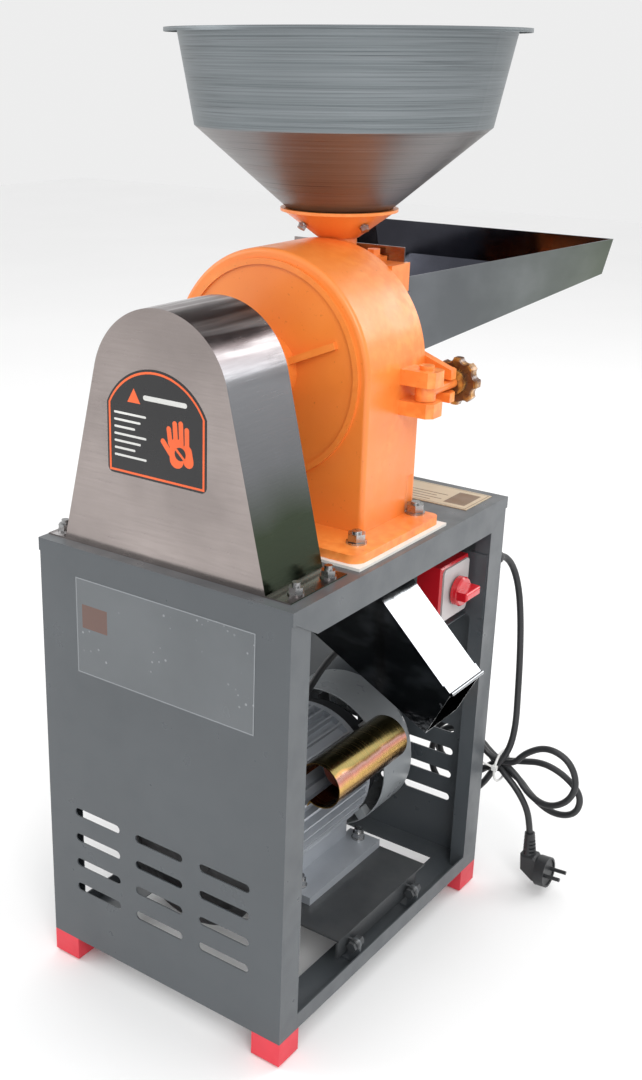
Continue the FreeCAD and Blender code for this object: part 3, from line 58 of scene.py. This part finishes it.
camera_data = bpy.data.cameras.new("camera")
camera_data.sensor_width = 36
camera_data.lens = 44.1
camera_data.shift_x = 0.1044
camera_data.shift_y = 0.0133
camera_data.clip_start = 0.05
camera_data.clip_end = 50
camera = bpy.data.objects.new("camera", camera_data)
bpy.context.scene.collection.objects.link(camera)
turn = (Matrix.Rotation(math.radians(CAMERA_TURN), 4, "Z")
        @ Matrix.Rotation(math.radians(90 - CAMERA_DOWN), 4, "X")
        @ Matrix.Rotation(math.radians(CAMERA_ROLL), 4, "Z"))
camera.matrix_world = Matrix.Translation(at(*CAMERA_PLACE)) @ turn
bpy.context.scene.camera = camera
bpy.context.scene.view_settings.view_transform = "Standard"

# ---- Materials --------------------------------------------------------------------------------------

SHADERS = {}  # this script's own materials by name; the frame's plain ones may have the same names


class Shader:
    """One principled material and short ways to add nodes to it."""

    def __init__(self, name, color, rough=0.5, metal=0.0, coat=0.0, coat_rough=0.1, aniso=0.0):
        self.mat = bpy.data.materials.new(name)
        SHADERS[name] = self.mat
        self.mat.use_nodes = True
        self.tree = self.mat.node_tree
        self.bsdf = self.tree.nodes["Principled BSDF"]
        self.bsdf.inputs["Base Color"].default_value = (*color, 1)
        self.bsdf.inputs["Roughness"].default_value = rough
        self.bsdf.inputs["Metallic"].default_value = metal
        self.bsdf.inputs["Coat Weight"].default_value = coat
        self.bsdf.inputs["Coat Roughness"].default_value = coat_rough
        self.bsdf.inputs["Anisotropic"].default_value = aniso
        self.place = self.node("ShaderNodeTexCoord").outputs["Object"]
        self.height = None
        self.color = None

    def node(self, kind, **values):
        n = self.tree.nodes.new(kind)
        for key, value in values.items():
            setattr(n, key, value)
        return n

    def link(self, a, b):
        self.tree.links.new(a, b)

    def stretched(self, scale):
        """Object coordinates, scaled along each axis."""
        mapping = self.node("ShaderNodeMapping")
        mapping.inputs["Scale"].default_value = scale
        self.link(self.place, mapping.inputs["Vector"])
        return mapping.outputs["Vector"]

    def noise(self, scale, detail=3.0, rough=0.5, stretch=(1, 1, 1), distort=0.0):
        n = self.node("ShaderNodeTexNoise")
        n.inputs["Scale"].default_value = scale
        n.inputs["Detail"].default_value = detail
        n.inputs["Roughness"].default_value = rough
        n.inputs["Distortion"].default_value = distort
        self.link(self.stretched(stretch), n.inputs["Vector"])
        return n.outputs["Fac"]

    def ramp(self, source, stops):
        r = self.node("ShaderNodeValToRGB")
        elements = r.color_ramp.elements
        while len(elements) < len(stops):
            elements.new(0.5)
        for element, (position, color) in zip(elements, stops):
            element.position = position
            element.color = (*color, 1)
        self.link(source, r.inputs["Fac"])
        return r.outputs["Color"]

    def spread(self, source, low, high, to_low, to_high):
        """Map one range of numbers to another."""
        m = self.node("ShaderNodeMapRange")
        for key, value in zip(("From Min", "From Max", "To Min", "To Max"), (low, high, to_low, to_high)):
            m.inputs[key].default_value = value
        self.link(source, m.inputs["Value"])
        return m.outputs["Result"]

    def math(self, operation, a, b=0.0):
        m = self.node("ShaderNodeMath", operation=operation)
        for socket, value in zip(m.inputs, (a, b)):
            if isinstance(value, (int, float)):
                socket.default_value = value
            else:
                self.link(value, socket)
        return m.outputs["Value"]

    def mix(self, factor, a, b):
        m = self.node("ShaderNodeMix", data_type="RGBA")
        for socket, value in ((m.inputs["Factor"], factor), (m.inputs[6], a), (m.inputs[7], b)):
            if isinstance(value, tuple):
                socket.default_value = (*value, 1)
            elif isinstance(value, (int, float)):
                socket.default_value = value
            else:
                self.link(value, socket)
        return m.outputs[2]

    def paint(self, color):
        self.color = color
        self.link(color, self.bsdf.inputs["Base Color"])

    def shine(self, rough):
        self.link(rough, self.bsdf.inputs["Roughness"])

    def relief(self, source, strength, distance):
        """Add a bump on top of the ones already there."""
        b = self.node("ShaderNodeBump")
        b.inputs["Strength"].default_value = strength
        b.inputs["Distance"].default_value = distance
        self.link(source, b.inputs["Height"])
        if self.height is not None:
            self.link(self.height, b.inputs["Normal"])
        self.height = b.outputs["Normal"]
        self.link(self.height, self.bsdf.inputs["Normal"])

    def edges(self, low, high):
        """1 on sharp outer edges, broken up by noise; a mask for painted edge highlights."""
        geometry = self.node("ShaderNodeNewGeometry")
        sharpness = self.spread(geometry.outputs["Pointiness"], low, high, 0, 1)
        return self.math("MULTIPLY", sharpness, self.spread(self.noise(90, 4), 0.4, 0.65, 0, 1))

    def axis(self, name):
        """One object coordinate, in metres."""
        separate = self.node("ShaderNodeSeparateXYZ")
        self.link(self.place, separate.inputs[0])
        return separate.outputs[name]

    def facing(self, name):
        """One component of the surface's normal."""
        geometry = self.node("ShaderNodeNewGeometry")
        separate = self.node("ShaderNodeSeparateXYZ")
        self.link(geometry.outputs["Normal"], separate.inputs[0])
        return separate.outputs[name]


def dark(color, k):
    return tuple(c * k for c in color)


def painted(name, color, rough, coat, peel, dust, vary=0.12):
    """Paint with soft clouds, specks, dust on what faces up, and a slight orange peel."""
    s = Shader(name, color, rough, coat=coat, coat_rough=0.18)
    cloud = s.noise(6, 4)
    tint = s.mix(s.spread(cloud, 0.3, 0.7, 0, 1), dark(color, 1 - vary), dark(color, 1 + vary))
    speck = s.spread(s.noise(420, 2), 0.7, 0.78, 0, 0.2)
    tint = s.mix(speck, tint, dark(color, 0.6))
    up = s.spread(s.facing("Z"), 0.3, 1.0, 0, dust)
    dusty = s.math("MULTIPLY", up, s.spread(s.noise(24, 5), 0.35, 0.65, 0.1, 1))
    s.paint(s.mix(dusty, tint, (0.55, 0.54, 0.52)))
    s.shine(s.spread(s.noise(35, 5), 0.3, 0.7, rough * 0.75, rough * 1.3))
    s.relief(s.noise(380, 2), peel, 0.0006)
    return s


def metal(name, color, rough, streak=(1, 1, 1), streak_scale=60, vary=0.15, bump=0.05, aniso=0.0,
          smudge=0.25):
    """Bare metal with fine lines, clouds and smudges."""
    s = Shader(name, color, rough, metal=1.0, aniso=aniso)
    lines = s.noise(streak_scale, 4, 0.6, streak)
    cloud = s.noise(9, 4)
    tint = s.mix(s.spread(cloud, 0.35, 0.65, 0, 1), dark(color, 1 - vary), dark(color, 1 + vary * 0.6))
    s.paint(s.mix(s.spread(lines, 0.3, 0.7, 0, 0.35), tint, dark(color, 0.75)))
    blur = s.math("ADD", s.spread(lines, 0.3, 0.7, rough * 0.7, rough * 1.25),
                  s.spread(s.noise(14, 5), 0.55, 0.75, 0, smudge * rough))
    s.shine(blur)
    s.relief(lines, bump, 0.0004)
    return s


def plastic(name, color, rough, grain, vary=0.08, coat=0.0, grain_scale=700):
    """Moulded plastic, rubber or print, slightly uneven in colour, gloss and grain."""
    s = Shader(name, color, rough, coat=coat)
    s.paint(s.mix(s.spread(s.noise(18, 3), 0.35, 0.65, 0, 1), dark(color, 1 - vary), dark(color, 1 + vary)))
    s.shine(s.spread(s.noise(60, 4), 0.3, 0.7, rough * 0.8, rough * 1.2))
    s.relief(s.noise(grain_scale, 3), grain, 0.0004)
    return s


def inside(s, source, a, b):
    """1 between two values of a coordinate."""
    return s.math("MULTIPLY", s.math("GREATER_THAN", source, a), s.math("LESS_THAN", source, b))


def area(s, u, v, u0, u1, v0, v1):
    """1 inside a rectangle of two coordinates."""
    return s.math("MULTIPLY", inside(s, u, u0, u1), inside(s, v, v0, v1))


STAND = (0.062, 0.071, 0.079)
painted("stand_paint", STAND, 0.36, 0.25, 0.06, dust=0.04, vary=0.06)

# Orange casting paint: clouds, dark specks and painted highlights on the raised edges, over a rough casting.
orange = Shader("orange_paint", (0.86, 0.24, 0.035), 0.4, coat=0.35, coat_rough=0.22)
cloud = orange.noise(7, 4)
tint = orange.mix(orange.spread(cloud, 0.3, 0.7, 0, 1), (0.80, 0.20, 0.028), (0.90, 0.265, 0.045))
tint = orange.mix(orange.spread(orange.noise(260, 3), 0.68, 0.76, 0, 0.5), tint, (0.45, 0.09, 0.01))
# painted highlight: a lighter orange on the sharp raised edges
tint = orange.mix(orange.edges(0.53, 0.62), tint, (0.95, 0.33, 0.07))
orange.paint(tint)
orange.shine(orange.spread(orange.noise(30, 4), 0.3, 0.7, 0.3, 0.5))
orange.relief(orange.noise(55, 4, 0.55), 0.18, 0.0016)
orange.relief(orange.noise(480, 2), 0.12, 0.0005)

# Spun hopper: fine rings round a vertical axis, broad soft bands, scratches and a browner low cone.
hopper = Shader("spun_steel", (0.36, 0.385, 0.40), 0.33, metal=0.85, aniso=0.5)
rings = hopper.noise(6, 5, 0.62, (0.6, 0.6, 150))
broad = hopper.noise(3, 3, 0.5, (0.5, 0.5, 14))
height_z = hopper.axis("Z")
WAIST_LOW, WAIST_HIGH = 0.905, 0.9085
base = hopper.mix(hopper.spread(rings, 0.32, 0.68, 0, 1), (0.13, 0.15, 0.158), (0.27, 0.295, 0.31))
base = hopper.mix(hopper.spread(broad, 0.35, 0.65, 0, 0.35), base, (0.19, 0.21, 0.22))
base = hopper.mix(hopper.spread(height_z, WAIST_LOW, WAIST_HIGH, 0.45, 0), base, (0.20, 0.155, 0.14))
scratch = hopper.noise(3, 2, 0.5, (2, 2, 420))
base = hopper.mix(hopper.spread(scratch, 0.6, 0.68, 0, 0.6), base, (0.07, 0.078, 0.083))
hopper.paint(base)
hopper.shine(hopper.spread(rings, 0.3, 0.7, 0.27, 0.45))
hopper.relief(rings, 0.25, 0.0005)

# Belt guard: brushed front, a side with a painted reflection that is dark below and bright above, and a crown
# with painted reflection streaks.
guard = metal("stainless", (0.36, 0.315, 0.30), 0.22, (3, 3, 60), 9, 0.18, 0.05, 0.4, 0.5)
# painted reflection on the side faces: dark greenish low down, bright higher up, darker again at the very top
side = guard.spread(guard.facing("X"), 0.55, 0.8, 0, 1)
rise = guard.math("ADD", guard.axis("Z"), guard.math("MULTIPLY", guard.noise(7, 2), 0.06))
painted_flank_reflection = guard.ramp(guard.spread(rise, 0.50, 0.78, 0, 1), [
    (0.0, (0.035, 0.046, 0.030)), (0.34, (0.055, 0.072, 0.045)), (0.55, (0.20, 0.205, 0.215)),
    (0.78, (0.27, 0.275, 0.29)), (1.0, (0.11, 0.085, 0.083))])
guard.paint(guard.mix(side, guard.color, painted_flank_reflection))
# painted reflections on faces turned up: dark, with bright streaks
crown = guard.spread(guard.facing("Z"), 0.35, 0.7, 0, 0.85)
crown_reflection_streaks = guard.ramp(guard.noise(16, 3, 0.5, (2.4, 0.12, 0.2)), [
    (0.36, (0.06, 0.05, 0.05)), (0.50, (0.14, 0.11, 0.11)), (0.58, (0.62, 0.60, 0.60)),
    (0.66, (0.16, 0.13, 0.13))])
guard.paint(guard.mix(crown, guard.color, crown_reflection_streaks))

# Feed tray: mirror-bright sheet; painted reflections make it dark and greenish outside and greyer inside.
tray_metal = metal("tray_stainless", (0.19, 0.195, 0.225), 0.09, (14, 2, 14), 6, 0.22, 0.03, 0.0, 0.8)
# painted reflection: dark greens on the faces turned down
below = tray_metal.spread(tray_metal.facing("Z"), -0.28, -0.04, 1, 0)
green_reflection = tray_metal.ramp(tray_metal.noise(9, 4), [
    (0.3, (0.045, 0.062, 0.028)), (0.55, (0.07, 0.092, 0.045)), (0.72, (0.11, 0.13, 0.085))])
tray_metal.paint(tray_metal.mix(below, tray_metal.color, green_reflection))
# painted reflection: light grey on faces turned to +X and a little up
grey_reflection = tray_metal.spread(tray_metal.facing("X"), 0.3, 0.7, 0, 0.7)
grey_reflection = tray_metal.math("MULTIPLY", grey_reflection, tray_metal.spread(tray_metal.facing("Z"), 0.05, 0.2, 0, 1))
tray_metal.paint(tray_metal.mix(grey_reflection, tray_metal.color, (0.30, 0.29, 0.30)))

# Chute: bright tinplate on top, dark reflections on its sides.
tin = metal("tinplate", (0.36, 0.375, 0.39), 0.1, (1, 1, 1), 16, 0.12, 0.05, 0.0, 1.0)
# painted reflection on the sides: mostly dark, with lighter streaks
cheek = tin.spread(tin.math("ABSOLUTE", tin.facing("Y")), 0.5, 0.8, 0, 1)
side_reflection = tin.ramp(tin.noise(11, 3, 0.5, (1, 1, 2)), [
    (0.32, (0.035, 0.036, 0.040)), (0.52, (0.10, 0.105, 0.11)), (0.66, (0.38, 0.39, 0.41))])
tin.paint(tin.mix(cheek, tin.color, side_reflection))
tin.relief(tin.noise(14, 3, 0.5, (1, 1, 1), 1.5), 0.2, 0.003)

metal("steel_zinc", (0.42, 0.42, 0.42), 0.28, (1, 1, 1), 90, 0.25, 0.12)
metal("bearing_steel", (0.6, 0.6, 0.6), 0.18)
metal("cast_grey", (0.22, 0.22, 0.225), 0.45, (1, 1, 1), 120, 0.25, 0.25)

# Capacitor cover: yellow chromate tint with painted reflections and shade that follow the slope of the sheet.
yellow = Shader("yellow_zinc", (0.8, 0.6, 0.3), 0.2, metal=1.0, aniso=0.3)
lines = yellow.noise(10, 4, 0.6, (2, 40, 2))
# chromate rainbow tint plus painted reflections and shade by slope: dark on faces turned down and straight up,
# gold to pink between
drift = yellow.math("ADD", yellow.facing("Z"), yellow.math("MULTIPLY", yellow.noise(14, 3), 0.7))
rainbow_and_reflection = yellow.ramp(drift, [
    (0.0, (0.16, 0.07, 0.025)), (0.3, (0.48, 0.27, 0.07)), (0.52, (0.68, 0.42, 0.12)),
    (0.72, (0.74, 0.30, 0.22)), (0.84, (0.78, 0.42, 0.38)), (0.93, (0.30, 0.16, 0.06)),
    (1.0, (0.10, 0.085, 0.03))])
yellow.paint(yellow.mix(yellow.spread(lines, 0.35, 0.7, 0, 0.3), rainbow_and_reflection, (0.35, 0.22, 0.08)))
yellow.shine(yellow.spread(lines, 0.3, 0.7, 0.16, 0.3))
yellow.relief(lines, 0.06, 0.0004)

motor_alu = painted("motor_alu", (0.36, 0.385, 0.42), 0.42, 0.1, 0.16, dust=0.06)
motor_alu.bsdf.inputs["Metallic"].default_value = 0.35
painted("motor_cover", (0.30, 0.32, 0.335), 0.32, 0.2, 0.05, dust=0.05)
painted("plate_black", (0.034, 0.037, 0.040), 0.4, 0.15, 0.1, dust=0.03)
plastic("feet_red", (0.66, 0.035, 0.055), 0.5, 0.12)
plastic("gasket_white", (0.80, 0.77, 0.72), 0.7, 0.2, 0.06, grain_scale=260)
plastic("belt_rubber", (0.018, 0.018, 0.018), 0.65, 0.2)
star_brown = plastic("star_brown", (0.10, 0.035, 0.012), 0.28, 0.1, 0.3, coat=0.4)
# painted highlight: light amber on the knob's sharp edges
star_brown.paint(star_brown.mix(star_brown.edges(0.505, 0.55), star_brown.color, (0.62, 0.30, 0.06)))
plastic("motor_plastic", (0.03, 0.032, 0.035), 0.42, 0.12)
plastic("cap_case", (0.24, 0.045, 0.02), 0.4, 0.05)
plastic("switch_red", (0.62, 0.012, 0.022), 0.22, 0.02, 0.05, coat=0.5)
plastic("switch_grey", (0.50, 0.47, 0.47), 0.4, 0.08)
cord_black = plastic("cord_black", (0.02, 0.021, 0.023), 0.45, 0.15, 0.15)
plastic("tie_white", (0.82, 0.82, 0.8), 0.4, 0.05)
metal("winding", (0.5, 0.26, 0.1), 0.4, (20, 1, 20), 60, 0.3, 0.2)

# Name plate: beige print with a frame line, plain generic bars and a dark block.
name_plate = plastic("name_plate", (0.55, 0.42, 0.29), 0.35, 0.03)
x = name_plate.axis("X")
y = name_plate.axis("Y")
low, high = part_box("name_plate")


def plate_area(margin):
    """1 inside the name plate's outline moved inward."""
    return area(name_plate, x, y, low[0] + margin, high[0] - margin, low[1] + margin, high[1] - margin)


marks = name_plate.math("SUBTRACT", plate_area(0.002), plate_area(0.003))
for i in range(4):
    line_y = low[1] + 0.008 + i * 0.008
    line_end = high[0] - 0.05 + 0.01 * (i % 2)
    marks = name_plate.math("MAXIMUM", marks,
                            area(name_plate, x, y, low[0] + 0.008, line_end, line_y, line_y + 0.0022))
marks = name_plate.math("MAXIMUM", marks,
                        area(name_plate, x, y, high[0] - 0.034, high[0] - 0.008, low[1] + 0.01, high[1] - 0.01))
beige = name_plate.mix(name_plate.noise(20), (0.52, 0.43, 0.29), (0.64, 0.53, 0.37))
name_plate.paint(name_plate.mix(marks, beige, (0.20, 0.12, 0.06)))

# Guard label: its black ground.
label_black = plastic("guard_label", (0.012, 0.012, 0.013), 0.3, 0.02)

# Panel film: glossy and a little uneven, with small blisters, a light edge and one brown square.
film = Shader("panel_film", STAND, 0.1, coat=0.8, coat_rough=0.06)
low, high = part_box("panel_decal")
x, z = film.axis("X"), film.axis("Z")
bubbles = film.node("ShaderNodeTexVoronoi")
bubbles.inputs["Scale"].default_value = 120
film.link(film.stretched((1, 1, 1)), bubbles.inputs["Vector"])
blister = film.spread(bubbles.outputs["Distance"], 0.12, 0.2, 1, 0)
blister = film.math("MULTIPLY", blister, film.spread(film.noise(22, 3), 0.56, 0.62, 0, 1))
square = area(film, x, z, low[0] + 0.008, low[0] + 0.042, low[2] + 0.052, low[2] + 0.078)
ground = film.mix(film.spread(film.noise(9, 4), 0.3, 0.7, 0, 1), (0.062, 0.072, 0.08), (0.085, 0.096, 0.105))
ground = film.mix(square, ground, (0.085, 0.028, 0.014))
RIM = 0.0012
edge = film.math("SUBTRACT", 1.0, area(film, x, z, low[0] + RIM, high[0] - RIM, low[2] + RIM, high[2] - RIM))
ground = film.mix(film.math("MULTIPLY", edge, 0.5), ground, (0.3, 0.32, 0.34))
film.paint(film.mix(film.math("MULTIPLY", blister, 0.55), ground, (0.3, 0.32, 0.34)))
film.shine(film.spread(film.noise(12, 4), 0.3, 0.7, 0.1, 0.28))
film.relief(film.noise(16, 3), 0.25, 0.002)
film.relief(blister, 0.4, 0.0008)

LOOKS = {
    "stand_paint": "front_panel back_panel top_plate bottom_rail_right bottom_rail_left switch_bracket "
                   "hinge_brackets",
    "feet_red": "feet",
    "orange_paint": "mill_housing bearing_housing mill_door swing_pin swing_bolt hopper_collar neck_bolt",
    "gasket_white": "base_gasket",
    "steel_zinc": "mill_bolts mill_shaft door_hinge_pins feed_screws guard_bolts motor_rotor motor_bolts",
    "bearing_steel": "mill_bearings motor_bearings",
    "cast_grey": "mill_pulley rotor_disc fixed_disc motor_pulley",
    "belt_rubber": "belt",
    "stainless": "sieve_ring baffle_plate belt_guard",
    "tray_stainless": "feed_tray",
    "spun_steel": "hopper",
    "tinplate": "chute",
    "star_brown": "star_knob",
    "guard_label": "guard_decal",
    "panel_film": "panel_decal",
    "name_plate": "name_plate",
    "motor_alu": "motor_body motor_end_front motor_end_rear",
    "motor_cover": "fan_cover",
    "winding": "motor_stator",
    "motor_plastic": "motor_fan terminal_box terminal_lid",
    "cap_case": "capacitor",
    "yellow_zinc": "capacitor_cover",
    "plate_black": "motor_base hinge_bolts",
    "switch_red": "switch_box switch_knob",
    "switch_grey": "switch_plate",
    "cord_black": "cable_gland mains_cord motor_cable plug",
    "tie_white": "cable_tie",
}
for look, names in LOOKS.items():
    for name in names.split():
        for slot in NODES[name].material_slots:
            slot.material = SHADERS[look]

# ---- Cord -------------------------------------------------------------------------------------------

ROUTE = [
    (146, 228, 430), (147, 240, 429), (151, 260, 412), (158, 267, 384), (166, 263, 348),
    (173, 256, 302), (178, 249, 256), (182, 243, 214), (178, 240, 180), (160, 241, 148),
    (146, 242, 120), (126, 242, 98), (98, 242, 95), (76, 242, 114), (70, 243, 146),
    (82, 244, 176), (108, 245, 190), (134, 245, 178), (152, 246, 159), (182, 246, 159),
    (198, 242, 183), (225, 241, 201), (254, 241, 193), (267, 242, 165), (258, 243, 136),
    (232, 245, 118), (204, 249, 124), (182, 253, 146), (152, 254, 158), (128, 257, 176),
    (98, 258, 180), (74, 258, 162), (76, 258, 132), (104, 258, 114), (134, 258, 126),
    (154, 259, 150), (186, 258, 160), (216, 256, 170), (246, 256, 162), (269, 256, 142),
    (264, 256, 114), (236, 256, 104), (206, 256, 118), (184, 255, 142), (152, 255, 143),
    (124, 261, 124), (94, 266, 116), (68, 267, 132), (62, 267, 162), (84, 267, 184),
    (116, 265, 178), (144, 257, 158), (170, 247, 144), (192, 245, 127), (206, 247, 104),
    (211, 248, 80), (212.6, 248, 65),
]


def curve(name, points, radius, material, body):
    """A round cord along one smooth spline whose control points are given."""
    data = bpy.data.curves.new(name, "CURVE")
    data.dimensions = "3D"
    data.resolution_u = 10
    data.bevel_depth = radius
    data.bevel_resolution = 5
    data.use_fill_caps = True
    spline = data.splines.new("NURBS")
    spline.points.add(len(points) - 1)
    for point, co in zip(spline.points, points):
        point.co = (*co, 1)
    spline.order_u = 3
    spline.use_endpoint_u = True
    obj = bpy.data.objects.new(name, data)
    bpy.context.scene.collection.objects.link(obj)
    data.materials.append(material.mat)
    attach(obj, body)
    return obj


mains = curve("mains_lead", [at(*p) for p in ROUTE], 0.004, cord_black, "stand")
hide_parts("mains_cord")

# ---- Label picture ----------------------------------------------------------------------------------


def flat_shape(name, outlines, y, material, body):
    """Thin flat figures standing on a plane of constant y."""
    mesh = bpy.data.meshes.new(name)
    bm = bmesh.new()
    for points in outlines:
        front = [bm.verts.new(at(px, y, pz)) for px, pz in points]
        bm.faces.new(front)
    bmesh.ops.recalc_face_normals(bm, faces=bm.faces)
    bm.to_mesh(mesh)
    bm.free()
    obj = bpy.data.objects.new(name, mesh)
    bpy.context.scene.collection.objects.link(obj)
    mesh.materials.append(material.mat)
    solid = obj.modifiers.new("thick", "SOLIDIFY")
    solid.thickness = 0.0001
    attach(obj, body)


def capsule(x0, z0, x1, z1, r):
    """Outline of a thick line with round ends."""
    angle = math.atan2(z1 - z0, x1 - x0)
    points = []
    for cx, cz, start in ((x1, z1, angle - math.pi / 2), (x0, z0, angle + math.pi / 2)):
        for i in range(9):
            a = start + math.pi * i / 8
            points.append((cx + r * math.cos(a), cz + r * math.sin(a)))
    return points


def arch(inset):
    """Label outline moved inward."""
    x0, x1, base_z, side_z, top_z = -72 + inset, 49 - inset, 595 + inset, 665, 703 - inset
    half = (x1 - x0) / 2
    rise = top_z - side_z
    radius = (half * half + rise * rise) / (2 * rise)
    centre = (x0 + x1) / 2
    span = math.asin(half / radius)
    points = [(x0, base_z), (x1, base_z)]
    for i in range(25):
        a = span - 2 * span * i / 24
        points.append((centre + radius * math.sin(a), top_z - radius + radius * math.cos(a)))
    return points


def band(outer, inner):
    """Quads between two outlines with equally many points."""
    return [[outer[i], outer[(i + 1) % len(outer)], inner[(i + 1) % len(inner)], inner[i]]
            for i in range(len(outer))]


label_orange = plastic("label_orange", (0.80, 0.12, 0.025), 0.35, 0.02)
label_grey = plastic("label_grey", (0.62, 0.62, 0.60), 0.4, 0.02)
FRONT = -199.42  # just proud of the label's face
LAYER = 0.12  # each further print lies this much in front of the last
palm = [capsule(14, 622, 14, 634, 8.5), capsule(28, 622, 26, 632, 6)]
fingers = [capsule(6.5 + i * 6.6, 636, 4.5 + i * 7.2, top, 2.7) for i, top in enumerate((650, 656, 657, 652))]
thumb = [capsule(7, 626, -2.5, 637, 2.8)]
flat_shape("label_border", band(arch(2.2), arch(4.4)), FRONT, label_orange, "stand")
flat_shape("label_hand", palm + fingers + thumb, FRONT, label_orange, "stand")
flat_shape("label_triangle", [[(-46, 668), (-30, 668), (-38, 682)]], FRONT, label_orange, "stand")
bars = [capsule(-24, 675, 24, 675, 2.4)]
for i in range(7):
    bars.append(capsule(-62, 656 - i * 7, -24 - (i % 3) * 7, 656 - i * 7, 1.1))
flat_shape("label_bars", bars, FRONT, label_grey, "stand")
flat_shape("label_dot", [capsule(18, 628, 18.2, 628, 6.5)], FRONT - LAYER, label_black, "stand")
flat_shape("label_stroke", [capsule(13.5, 632, 22.5, 624, 1.3)], FRONT - 2 * LAYER, label_orange, "stand")

# ---- Floor and light --------------------------------------------------------------------------------

floor_mat = Shader("floor", (0.86, 0.86, 0.86), 0.7)
floor_mat.paint(floor_mat.mix(floor_mat.noise(1.5), (0.84, 0.84, 0.84), (0.88, 0.88, 0.88)))
bpy.ops.mesh.primitive_plane_add(size=14, location=(0, 0, -0.0005))
floor = bpy.context.object
floor.name = "floor"
floor.data.materials.append(floor_mat.mat)

world = bpy.data.worlds.new("studio")
bpy.context.scene.world = world
world.use_nodes = True
background = world.node_tree.nodes["Background"]
coords = world.node_tree.nodes.new("ShaderNodeTexCoord")
split = world.node_tree.nodes.new("ShaderNodeSeparateXYZ")
ramp = world.node_tree.nodes.new("ShaderNodeValToRGB")
ramp.color_ramp.elements[0].position = 0.35
ramp.color_ramp.elements[0].color = (0.85, 0.85, 0.85, 1)
ramp.color_ramp.elements[1].position = 0.75
ramp.color_ramp.elements[1].color = (1, 1, 1, 1)
world.node_tree.links.new(coords.outputs["Generated"], split.inputs[0])
world.node_tree.links.new(split.outputs["Z"], ramp.inputs["Fac"])
world.node_tree.links.new(ramp.outputs["Color"], background.inputs["Color"])
background.inputs["Strength"].default_value = 1.0


def area_light(name, place, target, size, power):
    """A square light aimed at a point."""
    data = bpy.data.lights.new(name, "AREA")
    data.energy = power
    data.size = size
    obj = bpy.data.objects.new(name, data)
    bpy.context.scene.collection.objects.link(obj)
    obj.location = place
    obj.rotation_euler = (Vector(target) - Vector(place)).to_track_quat("-Z", "Y").to_euler()


area_light("key", (2.2, -2.2, 2.6), (0, 0, 0.5), 1.6, 50)
area_light("fill", (-2.6, -1.8, 1.6), (0, 0, 0.5), 1.8, 20)
area_light("top", (0.2, 0.3, 3.2), (0, 0, 0.6), 2.0, 26)
area_light("back", (1.6, 2.6, 2.0), (0, 0, 0.6), 1.5, 26)
